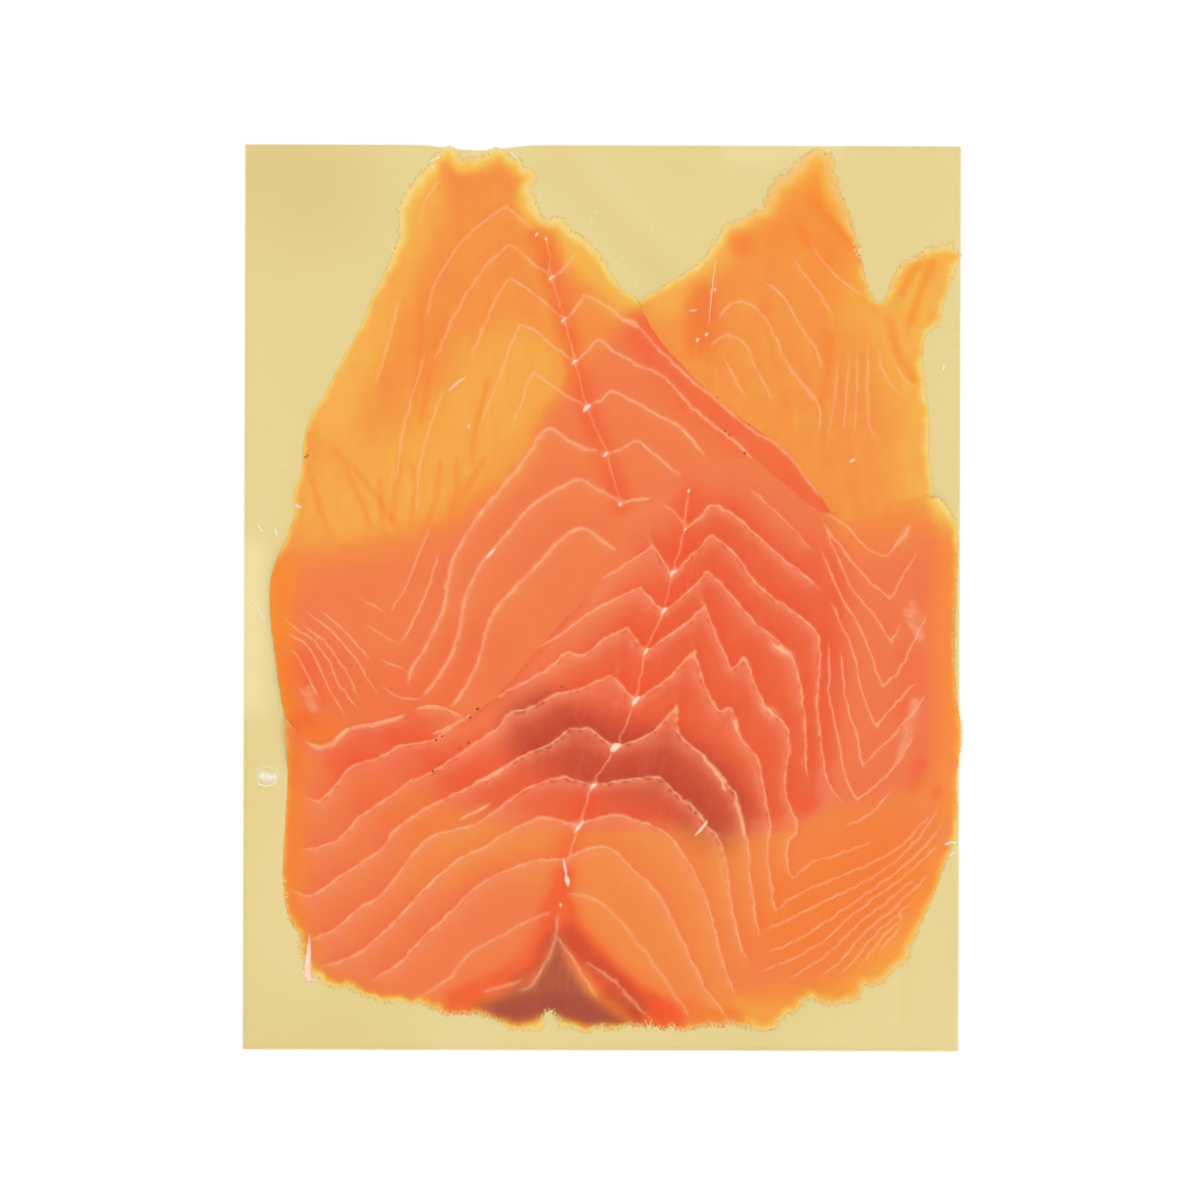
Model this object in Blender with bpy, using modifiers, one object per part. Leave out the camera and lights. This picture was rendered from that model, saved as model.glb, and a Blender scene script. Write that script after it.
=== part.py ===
"""Flat pack of smoked salmon: a gold board with three thin slices of fish laid over each other.

The board lies on z = 0 with its length along Y. The slices lie on it one by one: first the right one,
then the left one, and on both the front one, each draped over the edges of those below it.
Lengths are in millimetres until a mesh is made, and in metres from there on.
"""

import math

import bpy
from mathutils import Vector, noise
from mathutils.bvhtree import BVHTree
from mathutils.geometry import delaunay_2d_cdt

MM = 0.001

BOARD_WIDTH = 170.0
BOARD_LENGTH = 215.0
BOARD_THICKNESS = 1.0
BOARD_DIP_X = -30.0
BOARD_DIP_HALF_WIDTH = 15.0
BOARD_DIP_DEPTH = 1.3
BOARD_DIP_STEPS = 10

SLICE_THICKNESS = 2.0
RIM_THICKNESS = 0.5
TAPER_WIDTH = 10.0
REST_GAP = 0.3

GRID_SPACING = 5.0
EDGE_SPACING = 2.4
EDGE_CLEARANCE = 2.8
SAMPLE_SPACING = 1.5
DRAPE_PASSES = 4
SETTLE_PASSES = 25
SETTLED = 0.001

FRAY_TOP = 88.0
FRAY_BOTTOM = -88.0
FRAY_BLEND = 12.0
FRAY_DEPTH = 0.55
SIDE_WAVE = 0.12
FRAY_SCALE = 0.45
NOISE_SWING = 2.0
HIGH = 60.0

# How the outline is filled with triangles, and how close two of its points may come.
TRIANGLES_INSIDE = 1
CLOSEST_POINTS = 1e-4
CAP_WELD = 0.001

# Landmarks along each slice's edge, measured from the board's centre.
RIGHT_SLICE_EDGE = [
    (8, 70), (12.5, 73), (18, 76.5), (23, 80), (26, 83.5), (28.5, 88),
    (34, 91), (37.5, 92.5), (39, 96), (40, 98.5), (43.5, 101), (46, 103.5),
    (47.5, 105.5), (50, 106.5), (52, 107), (54, 106), (55, 101.5), (57.5, 95),
    (60, 88), (61, 83), (62, 77.5), (64, 72), (66, 70.5), (68, 73.5),
    (70, 78.5), (73, 81), (78, 83.5), (82.5, 84.5), (84.5, 83), (84, 78.5),
    (81, 70.5), (79.5, 65), (77, 63), (76, 58), (77.5, 45), (78, 29.5),
    (79, 23.5), (81.5, 14), (83, -0.5), (82.5, -21.5), (80.5, -40.5), (68.5, -48),
    (52.5, -51.5), (23.5, -53), (-10, -52), (-29, -49.5), (-40.5, -43.5), (-49, -37.5),
    (-64.5, -31.5), (-73.5, -24.5), (-75.5, -12.5), (-76.5, -1), (-75.5, 8.5), (-62, 12),
    (-48, 15), (-29.5, 23), (-17.5, 34.5), (-13.5, 45),
]
LEFT_SLICE_EDGE = [
    (8, 71), (4, 74), (1, 78.5), (-2, 83), (-6, 87), (-9.5, 89.5),
    (-13.5, 90.5), (-15.5, 93), (-16.5, 97), (-16, 100), (-19, 102), (-21.5, 105.5),
    (-24.5, 107), (-28.5, 105), (-32.5, 104.5), (-36.5, 107), (-39.5, 106), (-41.5, 102.5),
    (-45.5, 98.5), (-48, 94), (-49, 85), (-50.5, 80), (-54, 73), (-57, 65.5),
    (-62.5, 55), (-66.5, 47.5), (-69.5, 42.5), (-71, 36), (-71.5, 29.5), (-73.5, 23.5),
    (-73, 21), (-74, 16.5), (-76.5, 10.5), (-78.5, 4.5), (-78.5, -6), (-77, -17),
    (-75.5, -27.5), (-74.5, -32), (-72, -36.5), (-66, -40), (-50, -43.5), (-41.5, -48.5),
    (-27.5, -54), (-6, -55.5),
    (22.5, -55.5), (43.5, -55.5), (52.5, -51), (58, -24), (59, -0.5), (55, 19.5),
    (47.5, 30.5), (43, 36), (35, 41.5), (27.5, 47.5), (18, 56.5), (13, 62.5),
]
FRONT_SLICE_EDGE = [
    (-75, -28.5), (-71.5, -32.5), (-66.5, -35), (-61, -31), (-48, -28), (-40.5, -25),
    (-31.5, -27.5), (-24, -22), (-13.5, -10), (-3, 1.5), (2.5, 9), (5, 19.5),
    (12.5, 24.5), (21, 30.5), (34, 33.5), (44.5, 26), (52, 20.5), (66, 22),
    (78, 24.5), (81.5, 22.5), (84, 18), (84, -0.5), (84, -19.5), (85.5, -32.5),
    (84.5, -42), (84.5, -55), (82, -62.5), (78, -73), (72, -86), (66.5, -91),
    (61, -95), (56.5, -97), (50, -95.5), (46, -98), (40.5, -102.5), (30.5, -101.5),
    (23.5, -102.5), (9.5, -102), (0, -102.5), (-9, -102), (-12, -98), (-14, -101.5),
    (-21, -102.5), (-31.5, -98.5), (-37, -99.5), (-43, -96.5), (-50, -96.5), (-59.5, -93.5),
    (-67.5, -91), (-70.5, -87.5), (-71.5, -82), (-74.5, -75), (-75.5, -67.5), (-75, -53),
    (-74.5, -41), (-75, -33),
]


def clear_scene():
    """Remove every object that the scene starts with."""
    for obj in list(bpy.data.objects):
        bpy.data.objects.remove(obj, do_unlink=True)


def new_collection(name):
    """Return a new collection linked to the scene."""
    collection = bpy.data.collections.new(name)
    bpy.context.scene.collection.children.link(collection)
    return collection


def plain_material(name, colour, roughness, metallic):
    """Return a Principled material of one colour."""
    material = bpy.data.materials.new(name)
    material.use_nodes = True
    shader = material.node_tree.nodes["Principled BSDF"]
    shader.inputs["Base Color"].default_value = (*colour, 1.0)
    shader.inputs["Roughness"].default_value = roughness
    shader.inputs["Metallic"].default_value = metallic
    return material


def smoothstep(value):
    """Return an even blend from 0 to 1 as value goes from 0 to 1."""
    value = min(max(value, 0.0), 1.0)
    return value * value * (3.0 - 2.0 * value)


def through_landmarks(landmarks, spacing):
    """Return a closed smooth curve through the landmarks, as points about spacing apart."""
    points = [Vector(point) for point in landmarks]
    count = len(points)
    curve = []
    for i in range(count):
        before, start, end, after = (points[(i + k) % count] for k in (-1, 0, 1, 2))
        knots = [0.0]
        for a, b in ((before, start), (start, end), (end, after)):
            knots.append(knots[-1] + math.sqrt((b - a).length))
        steps = max(1, round((end - start).length / spacing))
        for j in range(steps):
            t = knots[1] + (knots[2] - knots[1]) * j / steps
            curve.append(on_spline((before, start, end, after), knots, t))
    return curve


def on_spline(points, knots, t):
    """Return the point at t on the centripetal spline through four points."""
    level = list(points)
    for width in (1, 2):
        level = [
            level[i].lerp(level[i + 1], (t - knots[i]) / (knots[i + width] - knots[i]))
            for i in range(len(level) - 1)
        ]
    return level[0].lerp(level[1], (t - knots[1]) / (knots[2] - knots[1]))


def torn_edge(curve, seed):
    """Return the curve with its cut ends frayed and its sides faintly wavy."""
    torn = []
    for i, point in enumerate(curve):
        along = curve[(i + 1) % len(curve)] - curve[i - 1]
        outward = Vector((along.y, -along.x)).normalized()
        above = smoothstep((point.y - FRAY_TOP + FRAY_BLEND) / FRAY_BLEND)
        below = smoothstep((FRAY_BOTTOM + FRAY_BLEND - point.y) / FRAY_BLEND)
        depth = SIDE_WAVE + FRAY_DEPTH * max(above, below)
        wave = noise.noise(Vector((point.x * FRAY_SCALE, point.y * FRAY_SCALE, seed * FRAY_SCALE)))
        torn.append(point + outward * depth * wave * NOISE_SWING)
    return torn


def edge_distance(point, loop):
    """Return how far point lies inside the closed loop, or a negative length outside it."""
    nearest = math.inf
    inside = False
    for i, end in enumerate(loop):
        start = loop[i - 1]
        side = end - start
        share = (point - start).dot(side) / side.length_squared
        foot = start + side * min(max(share, 0.0), 1.0)
        nearest = min(nearest, (point - foot).length)
        if (start.y > point.y) != (end.y > point.y):
            crossing = start.x + (point.y - start.y) * side.x / side.y
            inside ^= point.x < crossing
    return nearest if inside else -nearest


def inner_points(loop):
    """Return the points of a triangular grid that lie well inside the loop."""
    row_height = GRID_SPACING * math.sqrt(3.0) / 2.0
    rows = math.ceil(BOARD_LENGTH / 2 / row_height)
    columns = math.ceil(BOARD_WIDTH / 2 / GRID_SPACING)
    points = []
    for row in range(-rows, rows):
        shift = GRID_SPACING / 2 * (row % 2)
        for column in range(-columns, columns):
            point = Vector((column * GRID_SPACING + shift, row * row_height))
            if edge_distance(point, loop) > EDGE_CLEARANCE:
                points.append(point)
    return points


def slice_thickness(inset):
    """Return the slice's thickness at a place this far inside its edge."""
    return RIM_THICKNESS + (SLICE_THICKNESS - RIM_THICKNESS) * smoothstep(inset / TAPER_WIDTH)


def top_below(point, trees):
    """Return the height of whatever lies under point: the board or a slice laid before."""
    height = BOARD_THICKNESS
    for tree in trees:
        hit = tree.ray_cast(Vector((point.x, point.y, HIGH)), Vector((0, 0, -1)))[0]
        if hit is not None:
            height = max(height, hit.z)
    return height


def sample_tops(trees):
    """Return points all over the tops of the slices laid before."""
    samples = []
    columns = math.ceil(BOARD_WIDTH / SAMPLE_SPACING) + 1
    rows = math.ceil(BOARD_LENGTH / SAMPLE_SPACING) + 1
    for i in range(columns):
        for j in range(rows):
            x = i * SAMPLE_SPACING - BOARD_WIDTH / 2
            y = j * SAMPLE_SPACING - BOARD_LENGTH / 2
            height = top_below(Vector((x, y)), trees)
            if height > BOARD_THICKNESS:
                samples.append(Vector((x, y, height)))
    return samples


def evened(heights, triangles, floor):
    """Return the heights drawn halfway to their neighbours' mean, but never under the floor."""
    totals = [0.0] * len(heights)
    counts = [0] * len(heights)
    for triangle in triangles:
        for i, j in zip(triangle, triangle[1:] + triangle[:1]):
            totals[i] += heights[j]
            totals[j] += heights[i]
            counts[i] += 1
            counts[j] += 1
    means = [total / count for total, count in zip(totals, counts)]
    return [max(low, (height + mean) / 2) for height, mean, low in zip(heights, means, floor)]


def draped_heights(points, triangles, trees, corners):
    """Return the heights of a sheet's underside, lifted until it clears all that lies below it."""
    floor = [top_below(point, trees) + REST_GAP for point in points]
    heights = list(floor)
    for _ in range(DRAPE_PASSES):
        heights = evened(heights, triangles, floor)
    samples = sample_tops(trees) + corners
    for _ in range(SETTLE_PASSES):
        sheet = [Vector((point.x, point.y, z)) for point, z in zip(points, heights)]
        tree = BVHTree.FromPolygons(sheet, triangles)
        lifts = {}
        for sample in samples:
            hit, _, face, _ = tree.ray_cast(Vector((sample.x, sample.y, -HIGH)), Vector((0, 0, 1)))
            if hit is None:
                continue
            lift = sample.z + REST_GAP - hit.z
            if lift > SETTLED:
                for corner in triangles[face]:
                    lifts[corner] = max(lifts.get(corner, 0.0), lift)
        if not lifts:
            break
        for corner, lift in lifts.items():
            heights[corner] += lift
    return heights


def finished_shape(obj):
    """Return the corners, in millimetres, and the faces of an object with its modifiers applied."""
    bpy.context.view_layer.update()
    evaluated = obj.evaluated_get(bpy.context.evaluated_depsgraph_get())
    mesh = evaluated.to_mesh()
    corners = [vertex.co / MM for vertex in mesh.vertices]
    faces = [tuple(face.vertices) for face in mesh.polygons]
    evaluated.to_mesh_clear()
    return corners, faces


def slice_of_fish(name, landmarks, seed, slices_below, material):
    """Return a slice draped over the board and the slices below it, thinner towards its edge."""
    shapes = [finished_shape(obj) for obj in slices_below]
    trees = [BVHTree.FromPolygons(corners, faces) for corners, faces in shapes]
    loop = torn_edge(through_landmarks(landmarks, EDGE_SPACING), seed)
    rim = [(i, (i + 1) % len(loop)) for i in range(len(loop))]
    flat = delaunay_2d_cdt(loop + inner_points(loop), rim, [], TRIANGLES_INSIDE, CLOSEST_POINTS)
    points = [Vector(point) for point in flat[0]]
    triangles = [tuple(face) for face in flat[2]]
    heights = draped_heights(points, triangles, trees, [p for corners, _ in shapes for p in corners])

    mesh = bpy.data.meshes.new(name)
    underside = [Vector((point.x, point.y, z)) * MM for point, z in zip(points, heights)]
    mesh.from_pydata(underside, [], triangles)
    mesh.materials.append(material)
    mesh.shade_smooth()
    obj = bpy.data.objects.new(name, mesh)
    share = obj.vertex_groups.new(name="share_of_thickness")
    for i, point in enumerate(points):
        thickness = slice_thickness(edge_distance(point, loop))
        share.add([i], thickness / SLICE_THICKNESS, "REPLACE")
    body = obj.modifiers.new("body", "SOLIDIFY")
    body.thickness = SLICE_THICKNESS * MM
    body.offset = 1.0
    body.vertex_group = share.name
    return obj


def board_outline():
    """Return the corners of the board, with the shallow dip where the left slice's tip meets its edge."""
    half_width = BOARD_WIDTH / 2
    half_length = BOARD_LENGTH / 2
    outline = [(-half_width, -half_length), (half_width, -half_length), (half_width, half_length)]
    for i in range(BOARD_DIP_STEPS + 1):
        across = 1.0 - 2.0 * i / BOARD_DIP_STEPS
        depth = BOARD_DIP_DEPTH * (0.5 + 0.5 * math.cos(math.pi * across))
        outline.append((BOARD_DIP_X + BOARD_DIP_HALF_WIDTH * across, half_length - depth))
    outline.append((-half_width, half_length))
    return outline


def gold_board(name, material):
    """Return the board: a flat outline given its thickness."""
    curve = bpy.data.curves.new(name, "CURVE")
    curve.dimensions = "2D"
    curve.fill_mode = "BOTH"
    curve.extrude = BOARD_THICKNESS / 2 * MM
    outline = board_outline()
    spline = curve.splines.new("POLY")
    spline.points.add(len(outline) - 1)
    for point, (x, y) in zip(spline.points, outline):
        point.co = (x * MM, y * MM, 0.0, 1.0)
    spline.use_cyclic_u = True
    curve.materials.append(material)
    obj = bpy.data.objects.new(name, curve)
    obj.location.z = BOARD_THICKNESS / 2 * MM
    caps = obj.modifiers.new("joined_caps", "WELD")
    caps.merge_threshold = CAP_WELD * MM
    return obj


def centre_on_origin(objects):
    """Move the objects together until their common box is centred over the origin."""
    spans = []
    for obj in objects:
        corners, _ = finished_shape(obj)
        spans += [(corner.x, corner.y) for corner in corners]
    middle_x, middle_y = ((min(side) + max(side)) / 2 for side in zip(*spans))
    for obj in objects:
        obj.location.x -= middle_x * MM
        obj.location.y -= middle_y * MM


def main():
    """Build the board, then the slices from the lowest to the top one."""
    clear_scene()
    collection = new_collection("smoked_salmon_pack")
    gold = plain_material("gold_board", (0.80, 0.66, 0.33), 0.42, 0.35)
    fish = plain_material("smoked_fish", (0.84, 0.20, 0.05), 0.38, 0.0)
    board = gold_board("gold_board", gold)
    collection.objects.link(board)
    slices = []
    edges = {
        "slice_right": RIGHT_SLICE_EDGE,
        "slice_left": LEFT_SLICE_EDGE,
        "slice_front": FRONT_SLICE_EDGE,
    }
    for seed, (name, landmarks) in enumerate(edges.items(), start=1):
        obj = slice_of_fish(name, landmarks, seed, slices, fish)
        collection.objects.link(obj)
        slices.append(obj)
    centre_on_origin([board, *slices])


if __name__ == "__main__":
    main()
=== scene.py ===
"""Looks of the pack of smoked salmon: three thin slices over one another on a gold board, under clear film.

Places on the pack are in millimetres from the middle of the board, x to the right and y away from the
viewer, and heights are in millimetres above the floor. Sizes and distances are in millimetres too, where
nothing else is said. Meshes are in metres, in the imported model's frame.
"""

from __future__ import annotations

import logging
import math
from collections.abc import Sequence
from dataclasses import dataclass
from enum import Enum
from typing import Any

import bpy
import numpy as np
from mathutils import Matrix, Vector, noise
from mathutils.bvhtree import BVHTree
from mathutils.geometry import delaunay_2d_cdt
from mathutils.kdtree import KDTree

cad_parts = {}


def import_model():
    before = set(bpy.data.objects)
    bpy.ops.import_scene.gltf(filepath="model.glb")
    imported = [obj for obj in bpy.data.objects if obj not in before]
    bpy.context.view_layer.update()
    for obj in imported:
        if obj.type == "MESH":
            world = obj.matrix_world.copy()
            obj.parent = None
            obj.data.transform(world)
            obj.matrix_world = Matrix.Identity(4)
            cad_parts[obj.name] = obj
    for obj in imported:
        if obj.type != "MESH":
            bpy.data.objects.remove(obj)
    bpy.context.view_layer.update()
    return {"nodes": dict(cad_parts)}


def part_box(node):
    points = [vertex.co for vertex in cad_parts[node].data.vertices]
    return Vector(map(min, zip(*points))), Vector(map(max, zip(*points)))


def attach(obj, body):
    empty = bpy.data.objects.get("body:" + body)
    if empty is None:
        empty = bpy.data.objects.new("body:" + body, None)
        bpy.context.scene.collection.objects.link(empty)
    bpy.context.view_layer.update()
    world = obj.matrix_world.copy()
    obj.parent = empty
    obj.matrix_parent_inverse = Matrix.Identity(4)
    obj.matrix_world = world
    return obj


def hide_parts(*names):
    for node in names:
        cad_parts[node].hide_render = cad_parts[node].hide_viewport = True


MM = 0.001
BODY = "root"
TRIANGLES_INSIDE = 1
WELD = 1e-4
HIGH = 100.0
TINY = 1e-6
CUT_ENDS = (62.0, 84.0)
RAGGED_RIGHT = (55.0, 70.0)
RIGHT_RAGGEDNESS = 0.55

log = logging.getLogger("smoked_salmon")

Array = np.ndarray
Socket = bpy.types.NodeSocket
Point = tuple[float, float]
Path = tuple[Point, ...]
Colour = tuple[float, float, float, float]


def srgb(red: int, green: int, blue: int) -> Colour:
    """Turn a display colour into the linear colour that shaders take.

    Args:
        red: Red from 0 to 255.
        green: Green from 0 to 255.
        blue: Blue from 0 to 255.

    Returns:
        The linear colour, with an alpha of 1.
    """
    shares = [channel / 255.0 for channel in (red, green, blue)]
    linear = [s / 12.92 if s <= 0.04045 else ((s + 0.055) / 1.055) ** 2.4 for s in shares]
    return (linear[0], linear[1], linear[2], 1.0)


def under_film(colour: Colour, sheen: float = 0.038) -> Colour:
    """Return the bare colour of something that shows a colour under the film.

    Args:
        colour: The colour that shows.
        sheen: White light that the film and the moist surface add.

    Returns:
        The colour without that light.
    """
    red, green, blue = (max(channel - sheen, 0.004) for channel in colour[:3])
    return (red, green, blue, 1.0)


def smoothstep(values: Array, low: float | Array, high: float | Array) -> Array:
    """Ease values from 0 at low to 1 at high.

    Args:
        values: The numbers to ease.
        low: Where the result leaves 0.
        high: Where the result reaches 1.

    Returns:
        One number from 0 to 1 for each value.
    """
    share = np.clip((values - low) / (high - low), 0.0, 1.0)
    return share * share * (3.0 - 2.0 * share)


def on_curve(path: Sequence[Point] | Array, spacing: float, closed: bool = False) -> Array:
    """Lay a smooth curve through points and sample it evenly.

    Args:
        path: The points that the curve passes through. A point given twice in a row is a sharp corner.
        spacing: Distance between samples.
        closed: Whether the curve returns to its first point.

    Returns:
        The samples, one row each.
    """
    points = np.asarray(path, float)
    corners = np.flatnonzero(np.all(points[1:] == points[:-1], axis=1)) + 1
    if len(corners):
        runs = [on_curve(run, spacing) for run in np.split(points, corners)]
        return np.vstack([runs[0], *[run[1:] for run in runs[1:]]])
    if closed:
        points = np.vstack([points[-1], points, points[:2]])
    else:
        points = np.vstack([2 * points[0] - points[1], points, 2 * points[-1] - points[-2]])
    pieces = []
    for before, start, end, after in zip(points, points[1:], points[2:], points[3:]):
        count = max(2, math.ceil(np.linalg.norm(end - start) / (spacing / 4)))
        share = np.linspace(0.0, 1.0, count, endpoint=False)[:, None]
        came, run, goes = (
            max(np.linalg.norm(b - a) ** 0.5, TINY) for a, b in ((before, start), (start, end), (end, after))
        )
        leave = end - start + run * ((start - before) / came - (end - before) / (came + run))
        reach = end - start + run * ((after - end) / goes - (after - start) / (run + goes))
        square, cube = share**2, share**3
        pieces.append(
            (2 * cube - 3 * square + 1) * start
            + (cube - 2 * square + share) * leave
            + (3 * square - 2 * cube) * end
            + (cube - square) * reach
        )
    dense = np.vstack([*pieces, points[-2][None]])
    steps = np.linalg.norm(np.diff(dense, axis=0), axis=1)
    walked = np.concatenate([[0.0], np.cumsum(steps)])
    count = max(2, round(walked[-1] / spacing) + 1)
    marks = np.linspace(0.0, walked[-1], count)
    samples = np.stack([np.interp(marks, walked, dense[:, axis]) for axis in (0, 1)], axis=1)
    return samples[:-1] if closed else samples


def honeycomb(spacing: float, low: Sequence[float], high: Sequence[float]) -> Array:
    """Fill a rectangle with points in staggered rows.

    Args:
        spacing: Distance between neighbours.
        low: Lowest corner.
        high: Highest corner.

    Returns:
        The points, one row each.
    """
    rows = np.arange(low[1], high[1], spacing * math.sqrt(3.0) / 2.0)
    columns = np.arange(low[0], high[0], spacing)
    shifts = [spacing / 2 * (i % 2) for i in range(len(rows))]
    return np.vstack([
        np.stack([columns + shift, np.full_like(columns, y)], axis=1) for shift, y in zip(shifts, rows)
    ])


def inside(loop: Array, points: Array, chunk: int = 4000) -> Array:
    """Tell which points lie inside a closed outline.

    Args:
        loop: The outline's corners.
        points: The points to test.
        chunk: How many points are tested at once.

    Returns:
        True for each point inside.
    """
    start, end = loop, np.roll(loop, -1, axis=0)
    rise = np.where(end[:, 1] == start[:, 1], 1e-9, end[:, 1] - start[:, 1])
    found = []
    for first in range(0, len(points), chunk):
        x, y = points[first : first + chunk, 0:1], points[first : first + chunk, 1:2]
        spans = (start[:, 1] > y) != (end[:, 1] > y)
        crossing = start[:, 0] + (y - start[:, 1]) * (end[:, 0] - start[:, 0]) / rise
        found.append(np.sum(spans & (x < crossing), axis=1) % 2 == 1)
    return np.concatenate(found)


def tree_of(points: Array) -> KDTree:
    """Return a search tree over flat points."""
    tree = KDTree(len(points))
    for i, (x, y) in enumerate(points):
        tree.insert((x, y, 0.0), i)
    tree.balance()
    return tree


def nearest(tree: KDTree, points: Array) -> tuple[Array, Array]:
    """Find the nearest point of a tree to each point.

    Args:
        tree: The tree to search.
        points: Where to search from.

    Returns:
        The index found and the distance to it, for each point.
    """
    found = [tree.find((x, y, 0.0)) for x, y in points]
    return np.array([f[1] for f in found]), np.array([f[2] for f in found])


def kept_inside(points: Array, loop: Array, rim: KDTree, clear: float) -> Array:
    """Leave out points outside an outline or close to it.

    Args:
        points: The points to choose from.
        loop: The outline's corners.
        rim: A search tree over the outline.
        clear: How far the points stay from it.

    Returns:
        The points that are left.
    """
    points = points[inside(loop, points)]
    return points[nearest(rim, points)[1] > clear]


def outward(loop: Array, reach: int = 1) -> Array:
    """Tell which way is out at each corner of an anticlockwise outline.

    Args:
        loop: The outline's corners.
        reach: How many corners to each side it is judged over.

    Returns:
        A direction of length 1 for each corner.
    """
    tangent = np.roll(loop, -reach, axis=0) - np.roll(loop, reach, axis=0)
    normal = np.stack([tangent[:, 1], -tangent[:, 0]], axis=1)
    return normal / np.linalg.norm(normal, axis=1, keepdims=True)


def along_sides(corners: Array, spacing: float) -> Array:
    """Return points at even distances along the straight sides of an outline."""
    return np.vstack([
        np.linspace(start, end, max(1, round(np.linalg.norm(end - start) / spacing)), endpoint=False)
        for start, end in zip(corners, np.roll(corners, -1, axis=0))
    ])


def rolling(points: Array, rates: Point, seed: float) -> Array:
    """Read smooth noise at flat points.

    Args:
        points: Where to read it.
        rates: How fast it changes along x and y, per millimetre.
        seed: Which noise.

    Returns:
        One number from -1 to 1 for each point.
    """
    return np.array([noise.noise(Vector((x * rates[0], y * rates[1], seed))) for x, y in points])


def path_distance(points: Array, path: Sequence[Point]) -> Array:
    """Measure how far points are from a path of straight runs.

    Args:
        points: The points to measure from.
        path: One point or more.

    Returns:
        The distance for each point.
    """
    corners = np.asarray(path, float)
    least = np.linalg.norm(points - corners[0], axis=1)
    for start, end in zip(corners, corners[1:]):
        run = end - start
        share = np.clip((points - start) @ run / (run @ run), 0.0, 1.0)
        least = np.minimum(least, np.linalg.norm(points - start - share[:, None] * run, axis=1))
    return least


def evened(
    values: Array, triangles: Array, passes: int, least: Array | None = None
) -> Array:
    """Pull each value towards the mean of its neighbours.

    Args:
        values: One number for each point of a triangulation.
        triangles: The triangulation.
        passes: How many times to even them.
        least: Values that the result stays above, if any.

    Returns:
        The evened values.
    """
    pairs = np.unique(np.sort(triangles[:, [0, 1, 1, 2, 2, 0]].reshape(-1, 2), axis=1), axis=0)
    count = np.bincount(pairs.ravel(), minlength=len(values))
    for _ in range(passes):
        total = np.bincount(pairs[:, 0], values[pairs[:, 1]], len(values))
        total += np.bincount(pairs[:, 1], values[pairs[:, 0]], len(values))
        values = (values + total / np.maximum(count, 1)) / 2
        values = values if least is None else np.maximum(values, least)
    return values


def triangulated(
    rim: Array, inner: Array, seams: Sequence[Array] = ()
) -> tuple[Array, Array, Array]:
    """Split the area inside an outline into triangles.

    Args:
        rim: The outline's corners.
        inner: Points inside it.
        seams: Open lines inside it that triangle edges follow.

    Returns:
        The points, the triangles, and the index of each corner of the outline.
    """
    points = [Vector(p) for p in rim] + [Vector(p) for p in inner]
    edges = [(i, (i + 1) % len(rim)) for i in range(len(rim))]
    for seam in seams:
        first = len(points)
        points += [Vector(p) for p in seam]
        edges += [(first + i, first + i + 1) for i in range(len(seam) - 1)]
    result = delaunay_2d_cdt(points, edges, [], TRIANGLES_INSIDE, WELD)
    flat = np.array([(p.x, p.y) for p in result[0]])
    triangles = np.array([tuple(face) for face in result[2]])
    a, b, c = (flat[triangles[:, i]] for i in range(3))
    turned = (b[:, 0] - a[:, 0]) * (c[:, 1] - a[:, 1]) < (b[:, 1] - a[:, 1]) * (c[:, 0] - a[:, 0])
    triangles[turned] = triangles[turned][:, ::-1]
    corner = {source: i for i, sources in enumerate(result[3]) for source in sources}
    return flat, triangles, np.array([corner[i] for i in range(len(rim))])


class Number:
    """A number in a material, so that maths on it is written as plain Python."""

    def __init__(self, recipe: Recipe, socket: Socket) -> None:
        """Wrap an output socket of one of the recipe's nodes."""
        self.recipe = recipe
        self.socket = socket

    def _maths(self, operation: str, first: Number | float, second: Number | float) -> Number:
        """Return the result of a Math node on two terms."""
        node = self.recipe.node("ShaderNodeMath", {"operation": operation}, {0: first, 1: second})
        return Number(self.recipe, node.outputs[0])

    def __add__(self, other: Number | float) -> Number:
        """Return self + other."""
        return self._maths("ADD", self, other)

    __radd__ = __add__

    def __sub__(self, other: Number | float) -> Number:
        """Return self - other."""
        return self._maths("SUBTRACT", self, other)

    def __rsub__(self, other: Number | float) -> Number:
        """Return other - self."""
        return self._maths("SUBTRACT", other, self)

    def __mul__(self, other: Number | float) -> Number:
        """Return self * other."""
        return self._maths("MULTIPLY", self, other)

    __rmul__ = __mul__

    def __truediv__(self, other: Number | float) -> Number:
        """Return self / other."""
        return self._maths("DIVIDE", self, other)

    def at_least(self, other: Number | float) -> Number:
        """Return the greater of the two."""
        return self._maths("MAXIMUM", self, other)

    def at_most(self, other: Number | float) -> Number:
        """Return the lesser of the two."""
        return self._maths("MINIMUM", self, other)

    def eased(self, low: Number | float, high: Number | float) -> Number:
        """Ease from 0 at low to 1 at high, which may be the lower of the two.

        Args:
            low: Where the result leaves 0.
            high: Where the result reaches 1.

        Returns:
            The eased number.
        """
        share = ((self - low) / (high - low)).at_least(0.0).at_most(1.0)
        return share * share * (3.0 - 2.0 * share)


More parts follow.
